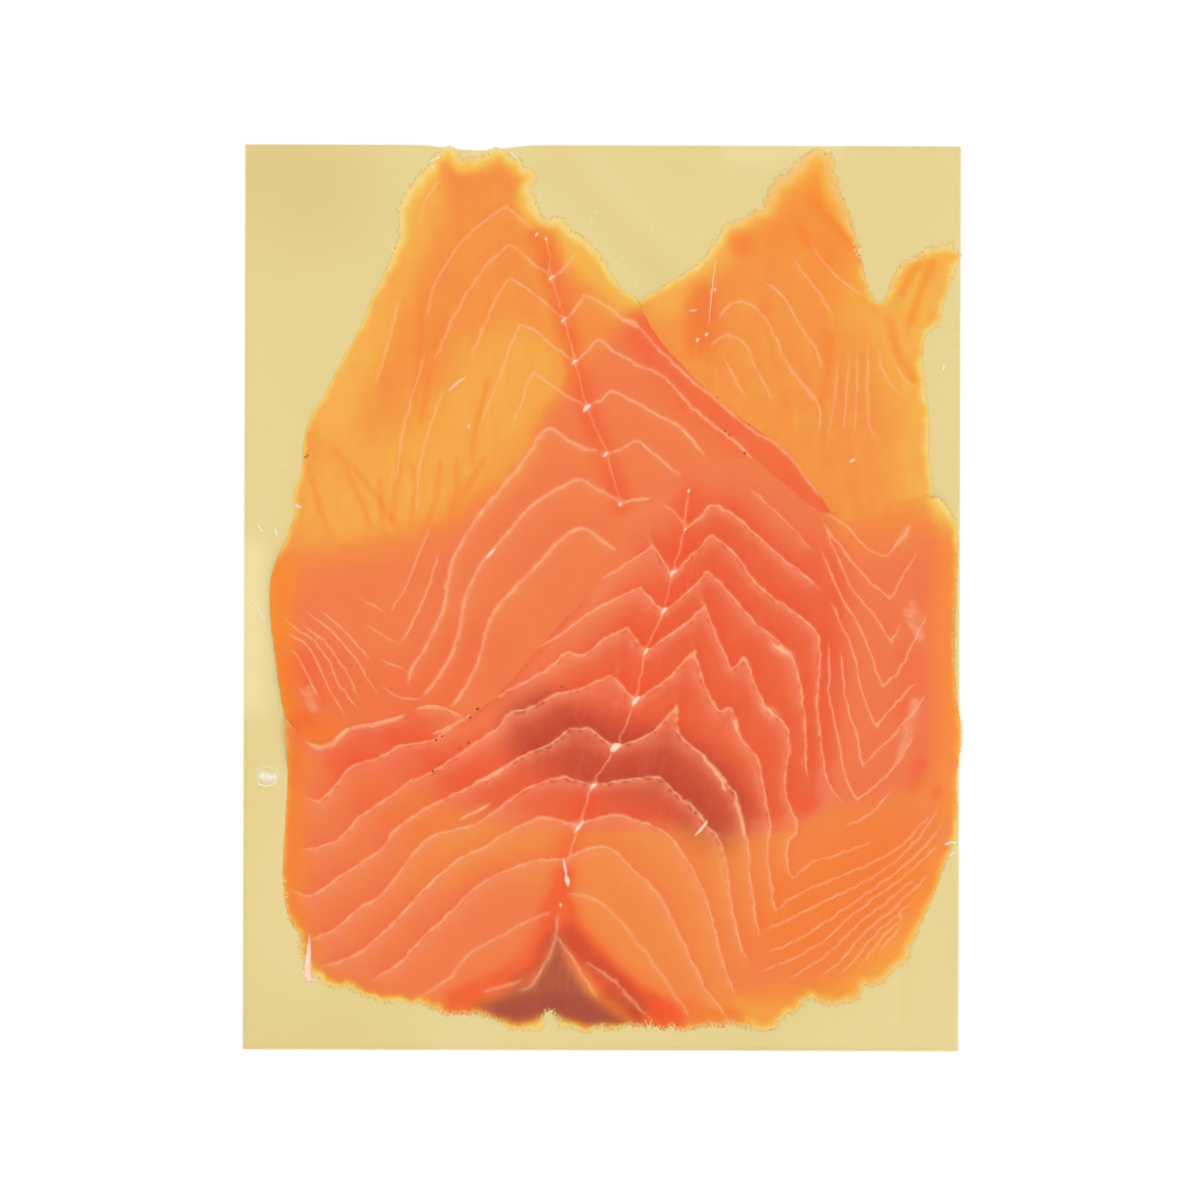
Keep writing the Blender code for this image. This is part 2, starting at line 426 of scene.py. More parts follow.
class Wiring:
    """A tree of nodes."""

    def __init__(self, tree: bpy.types.NodeTree) -> None:
        """Keep the tree that nodes are added to."""
        self.tree = tree

    def node(
        self, kind: str, settings: dict[str, Any] | None = None, inputs: dict[Any, Any] | None = None
    ) -> Any:
        """Add a node.

        Args:
            kind: The node's type.
            settings: Its properties, with "stops" for the places and colours of a ramp.
            inputs: What its sockets hold or are linked to, by name or number.

        Returns:
            The node.
        """
        made = self.tree.nodes.new(kind)
        for name, value in (settings or {}).items():
            if name == "stops":
                ramp = made.color_ramp
                while len(ramp.elements) < len(value):
                    ramp.elements.new(0.5)
                for element, (place, colour) in zip(ramp.elements, value):
                    element.position = place
                    element.color = colour
            else:
                setattr(made, name, value)
        for key, value in (inputs or {}).items():
            source = value.socket if isinstance(value, Number) else value
            if isinstance(source, Socket):
                self.tree.links.new(source, made.inputs[key])
            else:
                made.inputs[key].default_value = source
        return made

    def result(self, *words: Any) -> Socket:
        """Add a node, given the same words as above, and return its first output."""
        return self.node(*words).outputs[0]


class Growth(Wiring):
    """A geometry node tree with named inputs, which turns a guide mesh into a finished one."""

    def __init__(self, name: str, inputs: dict[str, str]) -> None:
        """Start a tree whose inputs have the given names and socket types."""
        super().__init__(bpy.data.node_groups.new(name, "GeometryNodeTree"))
        face = self.tree.interface
        face.new_socket("Geometry", in_out="INPUT", socket_type="NodeSocketGeometry")
        self.inputs = {
            label: face.new_socket(label, in_out="INPUT", socket_type=kind) for label, kind in inputs.items()
        }
        face.new_socket("Geometry", in_out="OUTPUT", socket_type="NodeSocketGeometry")
        self.given = self.node("NodeGroupInput").outputs

    def stored(self, name: str) -> Socket:
        """Return a number that the guide mesh holds at each of its points."""
        node = self.node("GeometryNodeInputNamedAttribute", {"data_type": "FLOAT"}, {"Name": name})
        return node.outputs["Attribute"]

    def finished(self, geometry: Socket) -> None:
        """End the tree with one real mesh that has the given material."""
        whole = self.result("GeometryNodeRealizeInstances", None, {"Geometry": geometry})
        smooth = self.result("GeometryNodeSetShadeSmooth", None, {"Geometry": whole})
        inputs = {"Geometry": smooth, "Material": self.given["Material"]}
        dressed = self.result("GeometryNodeSetMaterial", None, inputs)
        self.node("NodeGroupOutput", None, {"Geometry": dressed})

    def grow(self, obj: bpy.types.Object, values: dict[str, Any]) -> None:
        """Run the tree on a guide mesh and leave a plain mesh.

        Args:
            obj: The guide's object.
            values: What each named input holds.
        """
        modifier = obj.modifiers.new(self.tree.name, "NODES")
        modifier.node_group = self.tree
        for label, value in values.items():
            modifier[self.inputs[label].identifier] = value
        made_plain(obj)


class Recipe(Wiring):
    """The nodes of one material."""

    MIX_SHARE, MIX_FIRST, MIX_SECOND, MIX_RESULT = 0, 6, 7, 2
    NOISE_MIDDLE, NOISE_GAIN = 0.5, 2.5

    def __init__(self, name: str) -> None:
        """Start an empty material."""
        self.material = bpy.data.materials.new(name)
        self.material.use_nodes = True
        self.material.node_tree.nodes.clear()
        super().__init__(self.material.node_tree)
        self._place: Socket | None = None

    def attribute(self, name: str) -> Number:
        """Return a number that the mesh holds at each of its points."""
        node = self.node("ShaderNodeAttribute", {"attribute_type": "GEOMETRY", "attribute_name": name})
        return Number(self, node.outputs["Fac"])

    def place(self) -> Socket:
        """Return the object's own coordinates."""
        if self._place is None:
            self._place = self.node("ShaderNodeTexCoord").outputs["Object"]
        return self._place

    def stretched(self, across: float, along: float, turn: float) -> Socket:
        """Return coordinates whose pattern is drawn out in one direction.

        Args:
            across: Scale across the drawn-out direction.
            along: Scale along it.
            turn: Its angle from the y axis, in degrees.

        Returns:
            The coordinates.
        """
        inputs = {
            "Vector": self.place(),
            "Rotation": (0.0, 0.0, math.radians(turn)),
            "Scale": (1.0 / across, 1.0 / along, 1.0),
        }
        return self.node("ShaderNodeMapping", {"vector_type": "TEXTURE"}, inputs).outputs[0]

    def mottle(self, size: float, seed: float, detail: float = 2.0, where: Any = None) -> Number:
        """Return soft noise about 0, from about -1 to 1.

        Args:
            size: Size of its blots.
            seed: Which noise.
            detail: How many finer sizes are added.
            where: The coordinates that it is read at, if not the object's own.

        Returns:
            The noise.
        """
        inputs = {"Vector": where or self.place(), "W": seed, "Scale": 1.0 / (size * MM), "Detail": detail}
        texture = self.node("ShaderNodeTexNoise", {"noise_dimensions": "4D"}, inputs)
        return (Number(self, texture.outputs["Fac"]) - self.NOISE_MIDDLE) * self.NOISE_GAIN

    def mixed(self, share: Number | float, first: Any, second: Any) -> Socket:
        """Mix two colours.

        Args:
            share: How much of the second colour.
            first: The first colour.
            second: The second colour.

        Returns:
            The mixed colour.
        """
        settings = {"data_type": "RGBA", "blend_type": "MIX", "clamp_factor": True}
        inputs = {self.MIX_SHARE: share, self.MIX_FIRST: first, self.MIX_SECOND: second}
        return self.node("ShaderNodeMix", settings, inputs).outputs[self.MIX_RESULT]

    def ramp(self, share: Number, stops: Sequence[tuple[float, Colour]]) -> Socket:
        """Return the colour at a place on a ramp of colours."""
        return self.node("ShaderNodeValToRGB", {"stops": list(stops)}, {0: share}).outputs[0]

    def bumped(self, height: Number, depth: float, strength: float = 1.0) -> Socket:
        """Return normals tilted by a relief.

        Args:
            height: The relief, from about 0 to 1.
            depth: What 1 stands for.
            strength: How much of it shows.

        Returns:
            The normals.
        """
        inputs = {"Height": height, "Distance": depth * MM, "Strength": strength}
        return self.node("ShaderNodeBump", None, inputs).outputs[0]

    def coated(self, inputs: dict[str, Any]) -> Socket:
        """Return a Principled shader with the given sockets."""
        return self.node("ShaderNodeBsdfPrincipled", None, inputs).outputs[0]

    def done(self, shader: Socket) -> bpy.types.Material:
        """Link the shader to the output and return the material."""
        self.node("ShaderNodeOutputMaterial", None, {"Surface": shader})
        return self.material


class Tint(Enum):
    """What a patch of a piece changes."""

    DEPTH = "depth"
    BLUSH = "blush"
    AMBER = "amber"
    # On the board, DARK marks painted shade and darker corners and PALE marks painted highlights; on the
    # flesh they are dark muscle and milky spots.
    DARK = "dark"
    GREY = "grey"
    PALE = "pale"


@dataclass(frozen=True)
class Patch:
    """A soft-edged spot or band with a tint of its own.

    Attributes:
        tint: What it changes.
        path: Its middle line, or one point for a spot, or the outline of a filled patch.
        core: Distance from the path up to which it is full.
        reach: Distance at which it ends.
        amount: How strong it is. A negative depth is thinner flesh.
        filled: Whether its path is an outline, from which the distance inwards is negative.
    """

    tint: Tint
    path: Path
    core: float
    reach: float
    amount: float
    filled: bool = False

    def weight(self, points: Array) -> Array:
        """Return how strong the patch is at each point."""
        path = (*self.path, self.path[0]) if self.filled else self.path
        distance = path_distance(points, path)
        if self.filled:
            distance = np.where(inside(np.array(self.path), points), -distance, distance)
        return self.amount * (1.0 - smoothstep(distance, self.core, self.reach))


@dataclass(frozen=True)
class FatLine:
    """A line of fat: pale, soft-edged, fading at its ends.

    Attributes:
        path: The points that it runs through, from left to right.
        width: Half of its width.
        strength: How pale it is, from 0 to 1.
        lift: How much paler the flesh is just below it than just above it, from 0 to 1.
        fade: Length over which its ends fade.
    """

    path: Path
    width: float
    strength: float
    lift: float = 0.3
    fade: float = 3.0


def patches(tint: Tint, core: float, reach: float, amount: float, *paths: Path) -> tuple[Patch, ...]:
    """Return patches that share a tint, a core, a reach and an amount."""
    return tuple(Patch(tint, path, core, reach, amount) for path in paths)


def fat_lines(
    width: float, strength: float, paths: Sequence[Path], lift: float = 0.3, fade: float = 3.0
) -> tuple[FatLine, ...]:
    """Return fat lines that share a width, a strength and a lift."""
    return tuple(FatLine(path, width, strength, lift, fade) for path in paths)


def line_distance(
    offset: Array, tangent: Array, spacing: float, slack: float = 0.6
) -> tuple[Array, Array]:
    """Measure how far points are from a sampled line.

    Args:
        offset: Where each point lies from the sample nearest to it.
        tangent: The line's direction there.
        spacing: Distance between the samples.
        slack: How far along the line a sample stands for it, as a share of that distance.

    Returns:
        The distance for each point, and how far it is to the line's left.
    """
    along = np.abs(np.sum(offset * tangent, axis=1))
    across = tangent[:, 0] * offset[:, 1] - tangent[:, 1] * offset[:, 0]
    return np.hypot(across, np.maximum(along - slack * spacing, 0.0)), across


@dataclass
class Stroke:
    """A fat line as coarse samples, from which its sides are told.

    Attributes:
        track: The samples.
        tangent: The line's direction at each.
        fading: How full the line is at each, from 0 to 1.
        lift: How much paler the flesh is just below the line.
        retreat: How much further off a faded end counts.
    """

    track: Array
    tangent: Array
    fading: Array
    lift: float
    retreat: float = 6.0

    def measured(self, points: Array, spacing: float) -> tuple[Array, Array]:
        """Return each point's distance, and whether the line lies above it."""
        offset = points[:, None] - self.track[None]
        index = np.sum(offset**2, axis=2).argmin(axis=1)
        offset = offset[np.arange(len(points)), index]
        distance, across = line_distance(offset, self.tangent[index], spacing)
        return distance + self.retreat * (1.0 - self.fading[index]), across < 0


class FatNet:
    """All fat lines of a slice, laid as samples that points are measured from.

    SPACING, SEAM_SPACING and STROKE_SPACING are the distances between the samples, between the mesh points
    along a line, and between the samples that tell its sides. A line keeps CLEAR_OF_RIM and wavers at the
    rates and by the lengths in WAVER. Bands end FAR from a line and soften from SOFT_FROM. A line's end
    fades from FADE_START of its fade, and is THIN_END as wide as its middle.
    """

    SPACING = 0.2
    SEAM_SPACING = 0.8
    STROKE_SPACING = 1.2
    CLEAR_OF_RIM = 0.35
    LEAST_SAMPLES = 4
    WAVER = ((0.8, 0.45), (2.4, 0.16))
    WAVER_SEEDS = (0.5, 40.5)
    FAR = 9.0
    SOFT_FROM = 4.0
    FADE_START = -0.3
    THIN_END, WIDENING = 0.55, 0.45

    def __init__(self, lines: Sequence[FatLine], loop: Array) -> None:
        """Lay the lines, leaving out what falls outside the slice's outline."""
        rim = tree_of(loop)
        self.seams: list[Array] = []
        self.strokes: list[Stroke] = []
        samples, tangents, widths, strengths = [], [], [], []
        for line in lines:
            track = self.wavering(on_curve(line.path, self.SPACING))
            walked = np.arange(len(track)) * self.SPACING
            from_end = np.minimum(walked, walked[-1] - walked)
            fading = smoothstep(from_end, self.FADE_START * line.fade, line.fade)
            keep = inside(loop, track) & (nearest(rim, track)[1] > self.CLEAR_OF_RIM)
            if keep.sum() < self.LEAST_SAMPLES:
                continue
            runs = np.split(np.arange(len(track)), np.flatnonzero(np.diff(keep.astype(int))) + 1)
            step = round(self.SEAM_SPACING / self.SPACING)
            self.seams += [track[run[::step]] for run in runs if keep[run[0]] and len(run) > step]
            direction = np.gradient(track, axis=0)
            direction /= np.maximum(np.linalg.norm(direction, axis=1, keepdims=True), TINY)
            coarse = slice(None, None, round(self.STROKE_SPACING / self.SPACING))
            if line.lift:
                self.strokes.append(Stroke(track[coarse], direction[coarse], fading[coarse], line.lift))
            samples.append(track[keep])
            tangents.append(direction[keep])
            widths.append((line.width * (self.THIN_END + self.WIDENING * fading))[keep])
            strengths.append((line.strength * fading)[keep])
        self.samples = np.vstack(samples)
        self.tangents = np.vstack(tangents)
        self.widths = np.concatenate(widths)
        self.strengths = np.concatenate(strengths)
        self.tree = tree_of(self.samples)

    def wavering(self, track: Array) -> Array:
        """Return a line's samples, moved a little to and fro."""
        return track + sum(
            reach * np.column_stack([rolling(track, (rate, rate), seed) for seed in self.WAVER_SEEDS])
            for rate, reach in self.WAVER
        )

    def measured(self, points: Array) -> dict[str, Array]:
        """Return distance, width and strength of the nearest line, for each point."""
        index, _ = nearest(self.tree, points)
        distance, _ = line_distance(points - self.samples[index], self.tangents[index], self.SPACING)
        return {
            "fat_near": np.minimum(distance, self.FAR),
            "fat_width": self.widths[index],
            "fat_strength": self.strengths[index],
        }

    def banding(self, points: Array) -> Array:
        """Tell where each point lies between the line above it and the line below it.

        Args:
            points: The points to judge.

        Returns:
            For each point, up to 1 just below a line, down to -1 just above one, and 0 far from all.
        """
        gaps = np.full((2, len(points)), self.FAR)
        lifts = np.zeros((2, len(points)))
        for stroke in self.strokes:
            low, high = stroke.track.min(axis=0) - self.FAR, stroke.track.max(axis=0) + self.FAR
            close = np.flatnonzero(np.all((points > low) & (points < high), axis=1))
            if not len(close):
                continue
            distance, below = stroke.measured(points[close], self.STROKE_SPACING)
            for row, chosen in enumerate((below, ~below)):
                index = close[chosen]
                better = distance[chosen] < gaps[row, index]
                gaps[row, index[better]] = distance[chosen][better]
                lifts[row, index[better]] = stroke.lift
        share = gaps[0] / np.maximum(gaps[0] + gaps[1], TINY)
        lift = lifts[0] * (1.0 - share) + lifts[1] * share
        return (1.0 - 2.0 * share) * lift * (1.0 - smoothstep(gaps.min(axis=0), self.SOFT_FROM, self.FAR))


class Silhouette:
    """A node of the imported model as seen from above: its outline and its heights.

    UPWARD is how far up a face looks at least, as a share, to belong to the upper side. Past the edge a
    point takes the height of the face closest to it, seen from MIDWAY up, with HALF_LIP to each side.
    """

    UPWARD = 0.2
    MIDWAY = 2.0
    HALF_LIP = 0.25

    def __init__(self, node: bpy.types.Object, centre: Array) -> None:
        """Read the node's outline and keep its faces for measuring heights."""
        mesh = node.data
        corners = np.array([v.co for v in mesh.vertices]) / MM
        corners[:, :2] -= centre
        _, first, same = np.unique(np.round(corners, 3), axis=0, return_index=True, return_inverse=True)
        same = same.reshape(-1)
        faces = np.array([tuple(p.vertices) for p in mesh.polygons])
        self.tree = BVHTree.FromPolygons([Vector(c) for c in corners], [tuple(map(int, f)) for f in faces])
        a, b, c = (corners[faces[:, i]] for i in range(3))
        normals = np.cross(b - a, c - a)
        up = normals[:, 2] > self.UPWARD * np.linalg.norm(normals, axis=1)
        directed = {(int(same[f[i]]), int(same[f[(i + 1) % 3]])) for f in faces[up] for i in range(3)}
        following = {i: j for i, j in directed if (j, i) not in directed}
        start = here = min(following)
        loop = []
        while True:
            loop.append(corners[first[here]][:2])
            here = following[here]
            if here == start:
                break
        self.loop = np.array(loop)

    def heights(self, points: Array) -> tuple[Array, Array]:
        """Return the top and the underside at each point, taken from the nearest face past the edge."""
        tops, undersides = [], []
        for x, y in points:
            down = self.tree.ray_cast(Vector((x, y, HIGH)), Vector((0, 0, -1)))[0]
            up = self.tree.ray_cast(Vector((x, y, -HIGH)), Vector((0, 0, 1)))[0]
            if down is None or up is None:
                close = self.tree.find_nearest(Vector((x, y, self.MIDWAY)))[0]
                tops.append(close.z + self.HALF_LIP)
                undersides.append(close.z - self.HALF_LIP)
            else:
                tops.append(down.z)
                undersides.append(up.z)
        return np.array(tops), np.array(undersides)


class Piece:
    """A finished mesh that rides on the pack."""

    def __init__(self, name: str, centre: Array) -> None:
        """Name the piece and say where the board's middle is."""
        self.name = name
        self.centre = centre
        self.obj: bpy.types.Object | None = None

    def shaped(
        self, points: Array, faces: Array, edges: Sequence[tuple[int, int]] = ()
    ) -> bpy.types.Object:
        """Make the piece's object from points in millimetres, and from faces or guide edges."""
        placed = np.array(points, float)
        placed[:, :2] += self.centre
        mesh = bpy.data.meshes.new(self.name)
        mesh.from_pydata((placed * MM).tolist(), list(edges), faces.tolist())
        mesh.update()
        mesh.shade_smooth()
        self.obj = bpy.data.objects.new(self.name, mesh)
        bpy.context.scene.collection.objects.link(self.obj)
        return self.obj

    def marked(self, name: str, values: Array) -> None:
        """Store one number for each point of the piece."""
        layer = self.obj.data.attributes.new(name, "FLOAT", "POINT")
        layer.data.foreach_set("value", np.asarray(values, np.float32))

    def handed_over(self, replaced: Sequence[str] = ()) -> None:
        """Let the piece ride on the pack and hide the nodes that it stands for."""
        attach(self.obj, BODY)
        if replaced:
            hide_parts(*replaced)
        log.info("%s: %d triangles", self.name, len(self.obj.data.polygons))


class Ground:
    """The tops of finished pieces, on which later ones lie."""

    def __init__(self, centre: Array) -> None:
        """Start bare, and keep where the board's middle is."""
        self.centre = centre
        self.trees: list[BVHTree] = []

    def add(self, piece: Piece) -> None:
        """Let later pieces lie on this one."""
        mesh = piece.obj.data
        corners = [v.co / MM for v in mesh.vertices]
        self.trees.append(BVHTree.FromPolygons(corners, [tuple(p.vertices) for p in mesh.polygons]))

    def heights(self, points: Array) -> Array:
        """Return the height of the topmost piece at each point, or 0 beside them all."""
        tops = np.zeros(len(points))
        for i, (x, y) in enumerate(points + self.centre):
            for tree in self.trees:
                hit = tree.ray_cast(Vector((x, y, HIGH)), Vector((0, 0, -1)))[0]
                if hit is not None:
                    tops[i] = max(tops[i], hit.z)
        return tops


def closed_sheet(
    top: tuple[Array, Array, Array], under: tuple[Array, Array, Array]
) -> tuple[Array, Array, Array]:
    """Join two triangulations of one outline along it.

    Args:
        top: Points, triangles and rim of the upper side.
        under: The same of the lower side.

    Returns:
        All points, all triangles, and the place of each lower point among them.
    """
    number = np.full(len(under[0]), -1)
    number[under[2]] = top[2]
    free = np.flatnonzero(number < 0)
    number[free] = len(top[0]) + np.arange(len(free))
    points = np.vstack([top[0], under[0][free]])
    return points, np.vstack([top[1], number[under[1]][:, ::-1]]), number


def cut_end(points: Array) -> Array:
    """Return how ragged an edge is at each point: 1 at the cut ends and 0 along the smooth sides."""
    ends = smoothstep(np.abs(points[:, 1]), *CUT_ENDS)
    right = smoothstep(points[:, 0], *RAGGED_RIGHT)
    return np.maximum(ends, RIGHT_RAGGEDNESS * right)


@dataclass
class Bed:
    """What a slice lies on.

    Attributes:
        ground: The tops of the board and of the slices below.
        slices: Those slices.
    """

    ground: Ground
    slices: list[FishSlice]

    def covered(self, points: Array) -> Array:
        """Tell at which points a slice lies below."""
        found = np.zeros(len(points), bool)
        for fish in self.slices:
            found |= inside(fish.loop, points)
        return found


@dataclass
class FishSlice:
    """One slice of smoked salmon.

    Under another slice its edge shows CRISP wide, wider by HAZE at the ends of x that LEFT_HAZE and
    RIGHT_HAZE give. Beyond the middle of the board it is SOFT wide, and SOFTER wider left of HEAD_HAZE. It
    spills outwards by the share SPILL. Its thin rim is SIDE_RIM of its width along the sides, wider by
    END_RIM at the cut ends and by TIP_RIM from the first of TIPS, and thins the flesh by SIDE_THINNING and
    by END_THINNING more. Edge points closer to the outline than UNFOLDED of their inset are left out.

    Attributes:
        node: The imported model's node that it stands for.
        lines: Its lines of fat.
        patches: Its soft patches of other depth or colour.
        seed: Which random wear it gets.
        flesh: Depth of its flesh, where 1 is a slice of middling thickness.
        rim: Width of its thin edge.
        spacing: Size of its surface triangles.
        under_spacing: Size of the triangles below.
        edge_spacing: Distance between the points of its outline.
        edge_rows: How far inside its outline the points that round its edge lie.
        clear: How far inside the surface points start, and those below.
        off_line: How far surface points stay off a fat line, as a share of the spacing.
        edge_off_line: How far the points at the edge stay off it.
        edge_radius: How round its edge is.
        feather: Width over which its edge thins to nothing.
        drop: How far that edge may drop to what it lies on.
        sink: How far it sinks into a slice below it.
        gap: How far it stays above the board.
        lip: Thickness of that edge as a share of the slice's.
        fray: How far its cut ends are torn.
        wear: How far its smooth sides are.
        settle: How many times its heights are evened.
        swells: Height of its broad and of its fine unevenness.
        groove: How deep its fat lines are sunk.
        groove_reach: Half of the width of that groove.
    """

    node: str
    lines: tuple[FatLine, ...]
    patches: tuple[Patch, ...]
    seed: float
    flesh: float = 1.0
    rim: float = 2.6
    spacing: float = 0.85
    under_spacing: float = 3.0
    edge_spacing: float = 0.3
    edge_rows: tuple[float, ...] = (0.13, 0.38)
    clear: tuple[float, float] = (0.75, 1.0)
    off_line: float = 0.42
    edge_off_line: float = 0.25
    edge_radius: float = 0.3
    feather: float = 4.0
    drop: float = 0.8
    sink: float = 0.12
    gap: float = 0.02
    lip: float = 0.15
    fray: float = 0.9
    wear: float = 0.12
    settle: int = 110
    swells: tuple[float, float] = (0.10, 0.035)
    groove: float = 0.05
    groove_reach: float = 0.8

    UNFOLDED = 0.85
    CRISP, HAZE, SOFT, SOFTER, SPILL = 1.1, 4.0, 4.5, 5.5, -0.35
    LEFT_HAZE, RIGHT_HAZE, HEAD_HAZE = (-14.0, -4.0), (41.0, 47.0), (-50.0, -10.0)
    TIPS = (78.0, 98.0)
    SIDE_RIM, END_RIM, TIP_RIM = 0.55, 0.45, 0.9
    SIDE_THINNING, END_THINNING = 0.75, 0.22

    def outline(self, silhouette: Silhouette) -> Array:
        """Return the node's outline, finely torn at the cut ends."""
        loop = on_curve(silhouette.loop, self.edge_spacing, closed=True)
        torn = self.wear + self.fray * cut_end(loop)
        wave = rolling(loop, (1.2, 1.0), self.seed)
        fine = rolling(loop, (2.9, 1.5), self.seed + 5.0)
        return loop + outward(loop) * (torn * (0.7 * wave + 0.8 * fine))[:, None]

    def feathered(
        self, heights: tuple[Array, Array], points: Array, bed: Bed
    ) -> tuple[Array, Array]:
        """Return the heights of both sides with the edge thinned and laid onto what is below.

        Args:
            heights: Heights of the upper and of the lower side.
            points: Where those heights are.
            bed: What the slice lies on.

        Returns:
            The new heights of the upper and of the lower side.
        """
        upper, lower = heights
        share = smoothstep(nearest(self.rim_tree, points)[1], 0.0, self.feather)
        floor = np.maximum(bed.ground.heights(points), lower - self.drop)
        floor += np.where(bed.covered(points), -self.sink, self.gap)
        laid = floor * (1.0 - share) + lower * share
        return laid + (upper - lower) * (self.lip + (1.0 - self.lip) * share), laid

    def built(self, silhouette: Silhouette, piece: Piece, bed: Bed) -> Array:
        """Make the mesh of the slice on its bed and return its points."""
        self.loop = loop = self.outline(silhouette)
        self.net = FatNet(self.lines, loop)
        self.rim_tree = rim = tree_of(loop)
        rows = []
        for inset in self.edge_rows:
            row = loop - outward(loop) * inset
            rows.append(row[nearest(rim, row)[1] > self.UNFOLDED * inset])
        edge = np.vstack(rows)
        edge = edge[nearest(self.net.tree, edge)[1] > self.edge_off_line]
        low, high = loop.min(axis=0), loop.max(axis=0)
        fine = kept_inside(honeycomb(self.spacing, low, high), loop, rim, self.clear[0])
        fine = fine[nearest(self.net.tree, fine)[1] > self.off_line * self.spacing]
        top = triangulated(loop, np.vstack([edge, fine]), self.net.seams)
        coarse = kept_inside(honeycomb(self.under_spacing, low, high), loop, rim, self.clear[1])
        under = triangulated(loop, np.vstack([edge, coarse]))
        flat, faces, number = closed_sheet(top, under)

        sides = [evened(side, top[1], self.settle) for side in silhouette.heights(top[0])]
        upper, lower = self.feathered((sides[0], sides[1]), top[0], bed)
        under_upper, under_lower = self.feathered(silhouette.heights(under[0]), under[0], bed)
        z = np.zeros(len(flat))
        z[number] = self.rounded(under[0], rim, under_upper, under_lower, -1.0)
        z[: len(top[0])] = self.rounded(top[0], rim, upper, lower, 1.0)
        z[: len(top[0])] += self.relief(top[0], rim)
        piece.shaped(np.column_stack([flat, z]), faces)
        return flat

    def rounded(
        self, points: Array, rim: KDTree, upper: Array, lower: Array, side: float
    ) -> Array:
        """Return the heights of one side, drawn in to the middle at the edge."""
        near = np.clip(nearest(rim, points)[1] / self.edge_radius, 0.0, 1.0)
        swell = np.sqrt(1.0 - (1.0 - near) ** 2)
        return (upper + lower) / 2 + side * swell * (upper - lower) / 2

    def relief(self, points: Array, rim: KDTree) -> Array:
        """Return the soft unevenness of the surface."""
        near = smoothstep(nearest(rim, points)[1], self.edge_radius, self.feather)
        broad = rolling(points, (0.07, 0.07), self.seed)
        fine = rolling(points, (0.3, 0.3), self.seed + 3.0)
        fat = self.net.measured(points)
        groove = fat["fat_strength"] * np.exp(-((fat["fat_near"] / self.groove_reach) ** 2))
        return near * (self.swells[0] * broad + self.swells[1] * fine - self.groove * groove)

    def cover(self, points: Array) -> Array:
        """Return how much of this slice's flesh lies at each point, softly ending at its outline."""
        distance = nearest(self.rim_tree, points)[1]
        signed = np.where(inside(self.loop, points), distance, -distance)
        x, y = points.T
        left, right = 1.0 - smoothstep(x, *self.LEFT_HAZE), smoothstep(x, *self.RIGHT_HAZE)
        at_foot = self.CRISP + self.HAZE * left + self.HAZE * right
        at_head = self.SOFT + self.SOFTER * (1.0 - smoothstep(x, *self.HEAD_HAZE))
        soft = np.where(y > 0.0, at_head, at_foot)
        return self.flesh * smoothstep(signed, self.SPILL * soft, soft)

    def coloured(self, piece: Piece, points: Array, below: Sequence[FishSlice]) -> None:
        """Store what the finish reads: depth of flesh, tints and distance to the fat lines."""
        edge = nearest(self.rim_tree, points)[1]
        tints = {tint: np.zeros(len(points)) for tint in Tint}
        for patch in self.patches:
            tints[patch.tint] += patch.weight(points)
        ragged = rolling(points, (0.35, 0.35), self.seed)
        ends, tips = cut_end(points), smoothstep(points[:, 1], *self.TIPS)
        width = self.rim * (self.SIDE_RIM + self.END_RIM * ends + self.TIP_RIM * tips)
        thinness = 1.0 - smoothstep(edge + 0.8 * ragged, 0.05, width)
        hidden = sum((lower.cover(points) for lower in below), np.zeros(len(points)))
        thinned = (self.SIDE_THINNING + self.END_THINNING * ends) * thinness
        thinned *= 1.0 - 0.5 * np.minimum(hidden, 1.0)
        own = np.maximum(self.flesh + tints[Tint.DEPTH], 0.0) * (1.0 - thinned)
        piece.marked("depth", own + hidden)
        for tint in (Tint.BLUSH, Tint.AMBER, Tint.DARK, Tint.GREY, Tint.PALE):
            piece.marked(tint.value, np.clip(tints[tint], 0.0, 1.0))
        for name, values in self.net.measured(points).items():
            piece.marked(name, values)
        piece.marked("band", self.net.banding(points) * smoothstep(edge, 0.5, 5.0))


